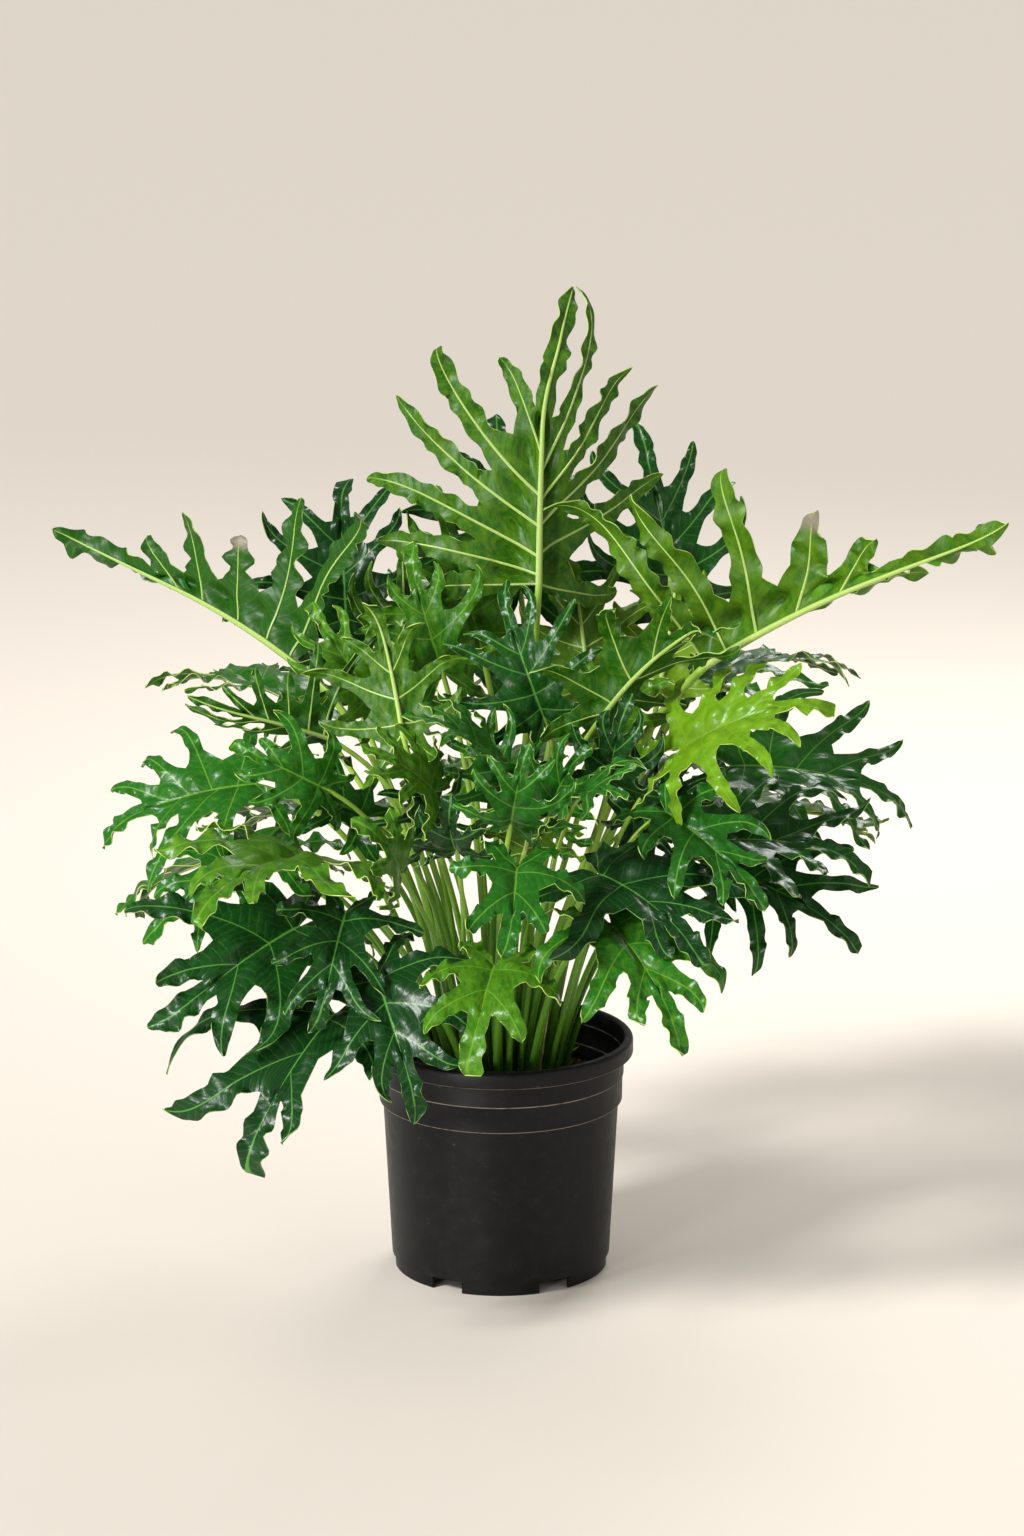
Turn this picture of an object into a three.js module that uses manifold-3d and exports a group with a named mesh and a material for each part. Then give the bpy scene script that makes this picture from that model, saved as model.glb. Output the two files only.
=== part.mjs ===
// A split-leaf philodendron in a black nursery pot.
// Millimetres, +Z up. The origin is the centre of the pot's base, on the floor, and -Y is the front.
// Each leaf is one piece: a long petiole that stands in the soil and a thin blade cut into lobes.

import * as THREE from "three";
import { mergeVertices } from "three/addons/utils/BufferGeometryUtils.js";
import Module from "manifold-3d";

const wasm = await Module();
wasm.setup();

// Driving sizes of the pot, the soil and the leaves
const RIM_RADIUS = 127;
const POT_HEIGHT = 229;
const ROLL_HEIGHT = 17;
const COLLAR_RADIUS = 118;
const BODY_RADIUS = 113;
const BASE_RADIUS = 105;
const STEP_HEIGHT = 167;
const STEP_RADIUS = 116.6;
const STEP_RISE = 1.5;
const RIDGE_HEIGHT = 192;
const FOOT_RADIUS = 102.5;
const FOOT_HEIGHT = 12;
const FOOT_WIDTH = 3;
const WALL = 2;
const FEET = 6;
const NOTCH_WIDTH = 32;
const DRAIN_RADIUS = 8;
const DRAIN_RING = 82;
const SOIL_HEIGHT = 180;
const SOIL_SLOPE_RADIUS = 94;
const FLOOR_THICKNESS = 2.5;
const FIT_GAP = 0.35;
const BLADE_THICKNESS = 0.9;
const HEEL_RADIUS = 1.5;
const HEEL_LIFT = 0.5;
const PETIOLE_SIDES = 6;
const PETIOLE_STEPS = 5;
const PETIOLE_DEPTH = 25;
const PETIOLE_SPACING = 13.5;
const PETIOLE_RADIUS = 2.6;
const SHEATH_RADII = [1, 2.2, 3.6, 4, 4];
const SOCKET_OVERSHOOT = 8;
const CROWN_RADIUS = 78;
const WIDEST_LEAN = 66;
const FOOT_PASSES = 60;
const POT_SEGMENTS = 36;
const SOIL_SEGMENTS = 30;

const rad = THREE.MathUtils.degToRad;
const lerp = THREE.MathUtils.lerp;
const vec = (x, y, z) => new THREE.Vector3(x, y, z);

// Finishes: the colour and roughness of what each piece is made of
const BLACK_PLASTIC = { color: 0x2a2a2b, roughness: 0.5 };
const POTTING_MIX = { color: 0x3a2418, roughness: 0.95 };
const DRY_SHEATH = { color: 0xb59a63, roughness: 0.8 };
const TONES = {
  mid: { color: 0x2f7a1f, roughness: 0.4 },
  dark: { color: 0x1c5232, roughness: 0.38 },
  lime: { color: 0x6fae1c, roughness: 0.42 },
};

// Solids in and out of the library that joins and cuts them
function solidOf(geometry) {
  const bare = geometry.clone();
  bare.deleteAttribute("normal");
  bare.deleteAttribute("uv");
  const merged = mergeVertices(bare, 1e-4);
  const vertProperties = new Float32Array(merged.attributes.position.array);
  const triVerts = new Uint32Array(merged.index.array);
  return new wasm.Manifold(new wasm.Mesh({ numProp: 3, vertProperties, triVerts }));
}

function geometryOf(solid) {
  const mesh = solid.getMesh();
  const geometry = new THREE.BufferGeometry();
  geometry.setAttribute("position", new THREE.BufferAttribute(new Float32Array(mesh.vertProperties), 3));
  geometry.setIndex(new THREE.BufferAttribute(new Uint32Array(mesh.triVerts), 1));
  geometry.computeVertexNormals();
  return geometry;
}

function meshFrom(points, faces) {
  const geometry = new THREE.BufferGeometry();
  const numbers = points.flatMap((p) => [p.x, p.y, p.z]);
  geometry.setAttribute("position", new THREE.Float32BufferAttribute(numbers, 3));
  geometry.setIndex(faces.flat());
  return geometry;
}

function part(name, geometry, finish) {
  const mesh = new THREE.Mesh(geometry, new THREE.MeshStandardMaterial({ ...finish, metalness: 0 }));
  mesh.name = name;
  return mesh;
}

// A repeatable draw from 0 to 1
function draw(seed, turn) {
  const v = Math.sin(seed * 12.9898 + turn * 78.233) * 43758.5453;
  return v - Math.floor(v);
}

// A turned shape about Z from [radius, height] pairs that start and end on the axis
function turned(profile, segments) {
  const points = profile.map(([r, z]) => new THREE.Vector2(r, z));
  return new THREE.LatheGeometry(points, segments).rotateX(Math.PI / 2);
}

// Pot: a thin moulded wall with a rolled rim, a ridge and a step below it, and a notched foot
function makePot() {
  const outer = [
    [BASE_RADIUS, FOOT_HEIGHT + 0.6],
    [BODY_RADIUS, STEP_HEIGHT - STEP_RISE],
    [STEP_RADIUS, STEP_HEIGHT],
    [STEP_RADIUS + 0.4, RIDGE_HEIGHT - 1],
    [COLLAR_RADIUS, RIDGE_HEIGHT],
    [COLLAR_RADIUS + 0.2, POT_HEIGHT - ROLL_HEIGHT],
  ];
  const roll = [
    [RIM_RADIUS - 1.5, POT_HEIGHT - ROLL_HEIGHT + 0.5],
    [RIM_RADIUS, POT_HEIGHT - ROLL_HEIGHT + 3],
    [RIM_RADIUS, POT_HEIGHT - 5],
    [RIM_RADIUS - 1.6, POT_HEIGHT - 1.5],
    [RIM_RADIUS - 4.5, POT_HEIGHT],
    [RIM_RADIUS - 8, POT_HEIGHT - 2.5],
  ];
  const inner = outer
    .slice(1)
    .reverse()
    .map(([r, z]) => [r - WALL, z]);
  const floorTop = FOOT_HEIGHT + FLOOR_THICKNESS;
  const profile = [
    [0, FOOT_HEIGHT],
    [FOOT_RADIUS - FOOT_WIDTH, FOOT_HEIGHT],
    [FOOT_RADIUS - FOOT_WIDTH, 0],
    [FOOT_RADIUS, 0],
    [FOOT_RADIUS + 0.5, FOOT_HEIGHT],
    ...outer,
    ...roll,
    ...inner,
    [BASE_RADIUS - WALL, floorTop],
    [0, floorTop],
  ];
  let pot = solidOf(turned(profile, POT_SEGMENTS));
  for (let i = 0; i < FEET; i++) {
    const turn = ((i + 0.5) / FEET) * 2 * Math.PI - Math.PI / 2;
    const notch = new THREE.BoxGeometry(20, NOTCH_WIDTH, FOOT_HEIGHT + 0.8);
    notch.translate(FOOT_RADIUS, 0, (FOOT_HEIGHT - 1.2) / 2).rotateZ(turn);
    pot = pot.subtract(solidOf(notch));
    const drain = new THREE.CylinderGeometry(DRAIN_RADIUS, DRAIN_RADIUS, 8, 6).rotateX(Math.PI / 2);
    drain.translate(DRAIN_RING, 0, FOOT_HEIGHT + 1.2).rotateZ(turn);
    pot = pot.subtract(solidOf(drain));
  }
  return geometryOf(pot);
}

// Soil: fills the pot to below the rim, with one plain hole for each petiole
function makeSoil(sockets) {
  const inset = WALL + FIT_GAP + 0.3;
  const bottom = FOOT_HEIGHT + FLOOR_THICKNESS + FIT_GAP;
  const profile = [
    [0, bottom],
    [BASE_RADIUS - inset, bottom],
    [BODY_RADIUS - inset, STEP_HEIGHT - STEP_RISE],
    [STEP_RADIUS - inset, STEP_HEIGHT + 1],
    [STEP_RADIUS - inset, SOIL_HEIGHT - 3],
    [SOIL_SLOPE_RADIUS, SOIL_HEIGHT],
    [0, SOIL_HEIGHT],
  ];
  let soil = solidOf(turned(profile, SOIL_SEGMENTS));
  for (const socket of sockets) soil = soil.subtract(socket);
  return geometryOf(soil);
}

// The lobes of each kind of blade, for each half from the petiole to the tip, and the lobe at the tip.
// Lengths are shares of the blade's length and angles are degrees. A lobe is listed as the place of its
// vein on the midrib, its angle from the midrib there, its reach, half the width of its strap, the share
// of the vein that lies in the blade's web, and the vein's sweep towards the tip.
const BOTH = (half, tip) => ({ left: half, right: half, tip });
const KINDS = {
  grown: BOTH(
    [
      [0.0, 142, 0.42, 0.046, 0.44, -12],
      [0.06, 106, 0.56, 0.046, 0.38, 8],
      [0.17, 80, 0.62, 0.046, 0.36, 18],
      [0.31, 62, 0.6, 0.046, 0.36, 20],
      [0.46, 44, 0.48, 0.042, 0.36, 16],
    ],
    [0.6, 0, 0.4, 0.046, 0.26, 8],
  ),
  plain: BOTH(
    [
      [0.0, 134, 0.44, 0.055, 0.46, -12],
      [0.08, 92, 0.6, 0.058, 0.38, 16],
      [0.26, 64, 0.62, 0.058, 0.38, 20],
      [0.45, 42, 0.48, 0.052, 0.38, 16],
    ],
    [0.6, 0, 0.4, 0.056, 0.28, 8],
  ),
  star: BOTH(
    [
      [0.0, 140, 0.5, 0.07, 0.46, -14],
      [0.04, 94, 0.68, 0.075, 0.42, 12],
      [0.22, 60, 0.7, 0.075, 0.42, 18],
      [0.44, 38, 0.46, 0.066, 0.42, 14],
    ],
    [0.58, 0, 0.42, 0.07, 0.3, 8],
  ),
  young: BOTH(
    [
      [0.0, 132, 0.52, 0.095, 0.46, -8],
      [0.06, 82, 0.7, 0.095, 0.44, 10],
      [0.3, 48, 0.6, 0.085, 0.44, 14],
    ],
    [0.5, 0, 0.5, 0.095, 0.3, 8],
  ),
  crown: {
    left: [
      [0.0, 104, 0.34, 0.04, 0.46, 10],
      [0.1, 70, 0.56, 0.036, 0.34, 16],
      [0.19, 52, 0.66, 0.04, 0.3, 10],
      [0.27, 40, 0.56, 0.034, 0.34, 6],
      [0.36, 27, 0.66, 0.03, 0.3, 4],
    ],
    right: [
      [0.0, 92, 0.42, 0.045, 0.55, 0],
      [0.03, 72, 0.56, 0.042, 0.5, -14],
      [0.09, 62, 0.66, 0.04, 0.46, -6],
      [0.19, 58, 0.64, 0.038, 0.42, 8],
      [0.29, 49, 0.67, 0.04, 0.4, 16],
      [0.43, 20, 0.34, 0.036, 0.46, -8],
    ],
    tip: [0.5, 0, 0.52, 0.04, 0.24, -42],
  },
  reachLeft: {
    left: [
      [0.03, 80, 0.74, 0.034, 0.3, -46],
      [0.14, 78, 0.54, 0.044, 0.38, -6],
      [0.27, 70, 0.32, 0.045, 0.55, 0],
      [0.42, 56, 0.34, 0.04, 0.4, -6],
      [0.52, 30, 0.26, 0.03, 0.45, 0],
    ],
    right: [
      [0.0, 122, 0.36, 0.036, 0.45, 0],
      [0.1, 78, 0.5, 0.034, 0.36, 20],
      [0.24, 50, 0.52, 0.034, 0.34, 12],
      [0.4, 22, 0.5, 0.032, 0.34, 0],
    ],
    tip: [0.56, 0, 0.44, 0.042, 0.24, -10],
  },
  reachRight: {
    left: [
      [0.0, 122, 0.34, 0.036, 0.45, 0],
      [0.1, 84, 0.46, 0.036, 0.38, 18],
      [0.24, 54, 0.5, 0.036, 0.36, 14],
      [0.4, 22, 0.56, 0.03, 0.3, 4],
    ],
    right: [
      [0.0, 86, 0.74, 0.038, 0.28, -8],
      [0.07, 78, 0.58, 0.04, 0.3, -22],
      [0.17, 62, 0.56, 0.04, 0.32, -18],
      [0.3, 42, 0.34, 0.05, 0.42, -16],
      [0.44, 32, 0.24, 0.032, 0.45, 0],
    ],
    tip: [0.54, 0, 0.46, 0.036, 0.24, 8],
  },
  openLeft: {
    left: [
      [0.0, 116, 0.42, 0.045, 0.44, 0],
      [0.09, 76, 0.54, 0.046, 0.38, 10],
      [0.2, 50, 0.74, 0.05, 0.36, 6],
      [0.42, 50, 0.4, 0.042, 0.36, 0],
    ],
    right: [
      [0.0, 142, 0.4, 0.042, 0.42, 0],
      [0.1, 112, 0.48, 0.042, 0.4, 8],
      [0.24, 78, 0.62, 0.042, 0.34, 6],
      [0.37, 60, 0.52, 0.044, 0.36, 4],
      [0.5, 40, 0.48, 0.044, 0.36, 4],
    ],
    tip: [0.62, 0, 0.4, 0.05, 0.24, -6],
  },
  lowLeft: {
    left: [
      [0.0, 108, 0.4, 0.07, 0.5, -10],
      [0.05, 66, 0.52, 0.07, 0.42, 0],
      [0.42, 30, 0.42, 0.06, 0.38, 0],
    ],
    right: [
      [0.0, 100, 0.44, 0.06, 0.46, 0],
      [0.02, 66, 0.9, 0.07, 0.38, 6],
      [0.3, 38, 0.78, 0.08, 0.4, 6],
    ],
    tip: [0.56, 0, 0.46, 0.075, 0.24, 6],
  },
};
const RUFFLES = 2.5;
const SWAY = 0.35;
const SHORT_LOBE = 0.5;
const FREE_SPREAD = 12;
const FREE_REACH = 0.3;

// The lobes of one leaf, varied by its seed
function lobesOf(leaf) {
  const kind = KINDS[leaf.kind];
  const longer = (turn) => 1 + leaf.vary * FREE_REACH * (draw(leaf.seed, turn) - 0.5);
  const lobeOf = (row, side, turn) => ({
    side,
    root: row[0],
    angle: rad(row[1] + (row[1] ? leaf.vary * FREE_SPREAD * (draw(leaf.seed, turn) - 0.5) : 0)),
    reach: row[2] * (row[1] ? leaf.spread : 1) * longer(turn + 1),
    width: row[3] * leaf.strap,
    sinus: row[4],
    sweep: rad(row[5]) || 0.01,
    curl: rad(leaf.curl * (0.4 + draw(leaf.seed, turn + 2))) || 0.001,
    phase: 2 * Math.PI * draw(leaf.seed, turn + 3),
  });
  return {
    left: kind.left.map((row, i) => lobeOf(row, 1, 4 * i)),
    right: kind.right.map((row, i) => lobeOf(row, -1, 40 + 4 * i)),
    tip: lobeOf(kind.tip, 1, 80),
  };
}

// A point of a lobe's vein at distance s, on the flat blade: x along the midrib, y away from it
function veinPoint(lobe, s) {
  const heading = lobe.angle - (lobe.sweep * s) / lobe.reach;
  const bend = lobe.reach / lobe.sweep;
  return {
    x: lobe.root + bend * (Math.sin(lobe.angle) - Math.sin(heading)),
    y: bend * (Math.cos(heading) - Math.cos(lobe.angle)),
    heading,
  };
}

// A point of a lobe's free strap: t runs from the sinus to the tip, and across from -1 to 1, with 1
// on the side of the blade's tip. The strap curls along its length and waves at its edges.
function strapPoint(leaf, lobe, t, across) {
  const start = lobe.reach * lobe.sinus;
  const free = lobe.reach - start;
  const v = veinPoint(lobe, start + (free * Math.sin(lobe.curl * t)) / lobe.curl);
  const w = across * lobe.width * (0.8 + 0.35 * Math.sin(Math.PI * t)) * (1 - t ** 2.4) ** 0.7;
  const swell = Math.min(1, 4 * t) * (1 - 0.6 * t) * Math.abs(across);
  const wave = Math.sin(2 * Math.PI * RUFFLES * t + lobe.phase + across) * swell;
  return {
    x: v.x + w * Math.sin(v.heading),
    y: lobe.side * (v.y - w * Math.cos(v.heading)),
    z: (free * (1 - Math.cos(lobe.curl * t))) / lobe.curl + leaf.ruffle * lobe.width * wave,
  };
}

// The blade's own axes: ahead runs from petiole to tip, and face looks out of its upper side.
// The seed sways the blade a little about its petiole.
function frameOf(leaf) {
  const origin = vec(...leaf.at);
  const ahead = vec(...leaf.tip).sub(origin);
  const chord = ahead.length();
  const sway = (turn) => chord * leaf.vary * SWAY * (draw(leaf.seed, turn) - 0.5);
  ahead.add(vec(sway(91), sway(92), sway(93))).normalize();
  const face = vec(...leaf.face).normalize();
  const nod = (turn) => SWAY * (draw(leaf.seed, turn) - 0.5);
  face.add(vec(nod(94), nod(95), nod(96)));
  face.addScaledVector(ahead, -face.dot(ahead)).normalize();
  const aside = new THREE.Vector3().crossVectors(face, ahead);
  const half = (rad(leaf.bend) || 1e-4) / 2;
  return { origin, ahead, face, aside, length: (chord * half) / Math.sin(half), chord };
}

// Takes a point of the flat blade to its place: folded and arched about the midrib, then bent along it
function placed(leaf, frame, p) {
  const side = p.y < 0 ? -1 : 1;
  const fold = rad(side > 0 ? leaf.foldLeft : leaf.foldRight);
  const arch = rad(leaf.arch) || 1e-4;
  const slope = fold + arch * Math.abs(p.y);
  const outward = (Math.sin(slope) - Math.sin(fold)) / arch - p.z * Math.sin(slope);
  const up = (Math.cos(fold) - Math.cos(slope)) / arch + p.z * Math.cos(slope);
  const bend = rad(leaf.bend) || 1e-4;
  const pitch = bend * (0.5 - p.x);
  const along = (Math.sin(bend / 2) - Math.sin(pitch)) / bend - up * Math.sin(pitch);
  const above = (Math.cos(pitch) - Math.cos(bend / 2)) / bend + up * Math.cos(pitch);
  return frame.origin
    .clone()
    .addScaledVector(frame.ahead, along * frame.length)
    .addScaledVector(frame.aside, side * outward * frame.length)
    .addScaledVector(frame.face, above * frame.length);
}

// The blade's sheet of triangles: a fan from the midrib for each lobe, then a ladder out to its tip
function bladeSheet(leaf, frame) {
  const { left, right, tip } = lobesOf(leaf);
  const points = [];
  const faces = [];
  const add = (p) => points.push(placed(leaf, frame, p)) - 1;
  const jointOf = (lobe, next) => (next ? (lobe.root + next.root) / 2 : tip.root);
  const jointsOf = (half) => half.map((lobe, i) => jointOf(lobe, half[i + 1]));
  const stations = [...new Set([0, ...jointsOf(left), ...jointsOf(right)])].sort((a, b) => a - b);
  const spine = stations.map((x) => add({ x, y: 0, z: 0 }));
  const strapRows = (lobe) => {
    const stops = lobe.reach > SHORT_LOBE ? [0.36, 0.74] : [0.5];
    return stops.map((t) => [add(strapPoint(leaf, lobe, t, -1)), add(strapPoint(leaf, lobe, t, 1))]);
  };
  const ladder = (side, rows, end) => {
    const push = (a, b, c) => faces.push(side > 0 ? [a, b, c] : [a, c, b]);
    for (let r = 0; r < rows.length - 1; r++) {
      push(rows[r][0], rows[r][1], rows[r + 1][1]);
      push(rows[r][0], rows[r + 1][1], rows[r + 1][0]);
    }
    push(...rows.at(-1), end);
  };
  const sinuses = [left, right].map((half) => {
    const joints = jointsOf(half);
    let low = add(strapPoint(leaf, half[0], 0, -1));
    let from = 0;
    half.forEach((lobe, i) => {
      const next = half[i + 1] || tip;
      const p = veinPoint(lobe, lobe.reach * lobe.sinus);
      const q = veinPoint(next, next.reach * next.sinus);
      const high = add({ x: (p.x + q.x) / 2, y: (lobe.side * (p.y + Math.abs(q.y))) / 2, z: 0 });
      const to = stations.indexOf(joints[i]);
      const fan = [...spine.slice(from, to + 1), high];
      for (let k = 0; k < fan.length - 1; k++) {
        faces.push(lobe.side > 0 ? [fan[k], fan[k + 1], low] : [fan[k + 1], fan[k], low]);
      }
      ladder(lobe.side, [[low, high], ...strapRows(lobe)], add(strapPoint(leaf, lobe, 1, 0)));
      low = high;
      from = to;
    });
    return low;
  });
  faces.push([sinuses[1], sinuses[0], spine.at(-1)]);
  ladder(1, [sinuses, ...strapRows(tip)], add(strapPoint(leaf, tip, 1, 0)));
  return { points, faces, heel: spine[0] };
}

// The leaf as one closed solid: the sheet on both sides, a wall along its edge, and at its heel the
// petiole, whose rings run down to the root
function leafSolid(leaf, frame, rings) {
  const { points, faces, heel } = bladeSheet(leaf, frame);
  const sheet = meshFrom(points, faces);
  sheet.computeVertexNormals();
  const normals = sheet.getAttribute("normal");
  const count = points.length;
  const skin = [1, -1].flatMap((sign) =>
    points.map((p, i) => {
      const offset = i === heel ? HEEL_RADIUS : BLADE_THICKNESS / 2;
      return p.clone().addScaledVector(new THREE.Vector3().fromBufferAttribute(normals, i), sign * offset);
    }),
  );
  const closed = [...faces, ...faces.map(([a, b, c]) => [a + count, c + count, b + count])];
  const socketAt = (near) => {
    const out = points[near].clone().sub(points[heel]).setLength(2 * HEEL_RADIUS);
    const corner = (lift) => points[heel].clone().add(out).addScaledVector(frame.face, lift);
    return [HEEL_LIFT, -HEEL_LIFT].map((lift) => skin.push(corner(lift)) - 1);
  };
  const edges = new Set(faces.flatMap(([a, b, c]) => [`${a},${b}`, `${b},${c}`, `${c},${a}`]));
  const mouth = {};
  for (const edge of edges) {
    const [a, b] = edge.split(",").map(Number);
    if (edges.has(`${b},${a}`)) continue;
    if (a === heel) {
      const [upper, lower] = socketAt(b);
      mouth.right = [lower, upper];
      closed.push([b, a, upper], [b, upper, lower], [b, lower, a + count], [b, a + count, b + count]);
    } else if (b === heel) {
      const [upper, lower] = socketAt(a);
      mouth.left = [upper, lower];
      closed.push([a, a + count, b + count], [a, b + count, lower], [a, lower, upper], [a, upper, b]);
    } else {
      closed.push([b, a, a + count], [b, a + count, b + count]);
    }
  }
  const mouthRing = [heel, ...mouth.left, heel + count, ...mouth.right];
  addRings(skin, closed, mouthRing, rings);
  return meshFrom(skin, closed);
}

// Adds a tube's wall from a first ring of vertices down through the rings, and its end cap
function addRings(points, faces, firstRing, rings) {
  let ring = firstRing;
  for (const places of rings) {
    const next = places.map((p) => points.push(p) - 1);
    ring.forEach((a, k) => {
      const k2 = (k + 1) % ring.length;
      faces.push([a, ring[k2], next[k2]], [a, next[k2], next[k]]);
    });
    ring = next;
  }
  for (let k = 1; k < ring.length - 1; k++) faces.push([ring[0], ring[k], ring[k + 1]]);
}

// The rings of a tube that leaves the blade's heel and follows the centres down
function ringsDown(frame, centres, radii) {
  let above = frame.origin;
  let face = frame.face;
  return centres.map((centre, i) => {
    const ahead = above.clone().sub(centres[i + 1] || centre).normalize();
    face = face.clone().addScaledVector(ahead, -face.dot(ahead)).normalize();
    const aside = new THREE.Vector3().crossVectors(face, ahead);
    above = centre;
    return Array.from({ length: PETIOLE_SIDES }, (_, k) => {
      const turn = (2 * Math.PI * k) / PETIOLE_SIDES;
      const p = centre.clone().addScaledVector(face, radii[i] * Math.cos(turn));
      return p.addScaledVector(aside, radii[i] * Math.sin(turn));
    });
  });
}

// Where the petioles stand: each on the side that its leaf leans to, pushed apart until none touch
function footPlaces(leaves) {
  const feet = leaves.map((leaf) => {
    const [x, y, z] = leaf.at;
    const lean = Math.atan2(Math.hypot(x, y), z - SOIL_HEIGHT);
    const ring = CROWN_RADIUS * Math.min(1, lean / rad(WIDEST_LEAN)) ** 0.9;
    const round = Math.atan2(y, x) + rad(leaf.shift);
    return vec(ring * Math.cos(round), ring * Math.sin(round), SOIL_HEIGHT);
  });
  for (let pass = 0; pass < FOOT_PASSES; pass++) {
    feet.forEach((a, i) =>
      feet.slice(i + 1).forEach((b) => {
        const away = b.clone().sub(a);
        const short = PETIOLE_SPACING - away.length();
        if (short <= 0) return;
        away.setLength(short / 2);
        a.sub(away);
        b.add(away);
      }),
    );
    for (const foot of feet) foot.clampLength(0, Math.hypot(CROWN_RADIUS, SOIL_HEIGHT));
    for (const foot of feet) foot.z = SOIL_HEIGHT;
  }
  return feet;
}

// The petiole's line, from the blade down: in one bow to the soil, then straight on to the root
function petioleLine(leaf, frame, foot) {
  const span = frame.origin.distanceTo(foot);
  const up = vec(foot.x, foot.y, 0).multiplyScalar(leaf.splay / CROWN_RADIUS).setZ(1).normalize();
  const arrive = frame.origin.clone().sub(foot).normalize();
  arrive.addScaledVector(frame.aside, -arrive.dot(frame.aside));
  arrive.addScaledVector(frame.ahead, leaf.follow).normalize();
  const bow = new THREE.CubicBezierCurve3(
    frame.origin,
    frame.origin.clone().addScaledVector(arrive, -span * 0.3),
    foot.clone().addScaledVector(up, span * leaf.rise),
    foot,
  );
  const root = foot.clone().addScaledVector(up, -PETIOLE_DEPTH);
  return { centres: [...bow.getPoints(PETIOLE_STEPS).slice(1), root], up };
}

// The plain hole in the soil round the last two rings of a stem, a fit gap wider and deeper
function socketOf(rings, centres, radius, up) {
  const scale = 1 + FIT_GAP / Math.cos(Math.PI / PETIOLE_SIDES) / radius;
  const moved = (ring, centre, along) =>
    ring.map((p) => p.clone().sub(centre).multiplyScalar(scale).add(centre).addScaledVector(up, along));
  const points = moved(rings.at(-2), centres.at(-2), SOCKET_OVERSHOOT);
  const faces = [];
  for (let k = 1; k < PETIOLE_SIDES - 1; k++) faces.push([0, k + 1, k]);
  const mouth = points.map((_, k) => k);
  addRings(points, faces, mouth, [moved(rings.at(-1), centres.at(-1), -FIT_GAP)]);
  return solidOf(meshFrom(points, faces));
}

function makeLeaf(leaf, foot) {
  const frame = frameOf(leaf);
  const { centres, up } = petioleLine(leaf, frame, foot);
  const thick = PETIOLE_RADIUS + frame.chord / 120;
  const share = (i) => Math.min(1, (i + 1) / PETIOLE_STEPS) ** 0.8;
  const radii = centres.map((_, i) => lerp(HEEL_RADIUS, thick, share(i)));
  const rings = ringsDown(frame, centres, radii);
  const mesh = part(`leaf_${leaf.name}`, leafSolid(leaf, frame, rings), TONES[leaf.tone]);
  return { mesh, socket: socketOf(rings, centres, thick, up) };
}

// A dried sheath that stands among the petioles: a thin tube that narrows to a ragged point
function makeSheath(sheath, foot) {
  const top = vec(...sheath.at);
  const up = top.clone().sub(foot).normalize();
  const root = foot.clone().addScaledVector(up, -PETIOLE_DEPTH);
  const centres = [0.3, 0.65, 1].map((share) => top.clone().lerp(foot, share)).concat(root);
  const rings = ringsDown({ origin: top, face: vec(0, -1, 0) }, [top, ...centres], SHEATH_RADII);
  const points = [...rings[0]];
  const faces = [];
  for (let k = 1; k < PETIOLE_SIDES - 1; k++) faces.push([0, k + 1, k]);
  const mouth = points.map((_, k) => k);
  addRings(points, faces, mouth, rings.slice(1));
  const mesh = part("dried_sheath", meshFrom(points, faces), DRY_SHEATH);
  return { mesh, socket: socketOf(rings, centres, SHEATH_RADII.at(-1), up) };
}

// A place from its bearing round the pot in degrees (0 to the right, 90 to the back), radius and height
const round = (bearing, radius, z) => [radius * Math.cos(rad(bearing)), radius * Math.sin(rad(bearing)), z];

// What a leaf has where its row gives nothing else
const USUAL = {
  kind: "plain",
  tone: "mid",
  foldLeft: 18,
  foldRight: 18,
  arch: -40,
  bend: 40,
  curl: -35,
  spread: 1,
  strap: 1,
  ruffle: 0.5,
  vary: 1,
  rise: 0.5,
  follow: 0.6,
  splay: 0.35,
  shift: 0,
};

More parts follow.
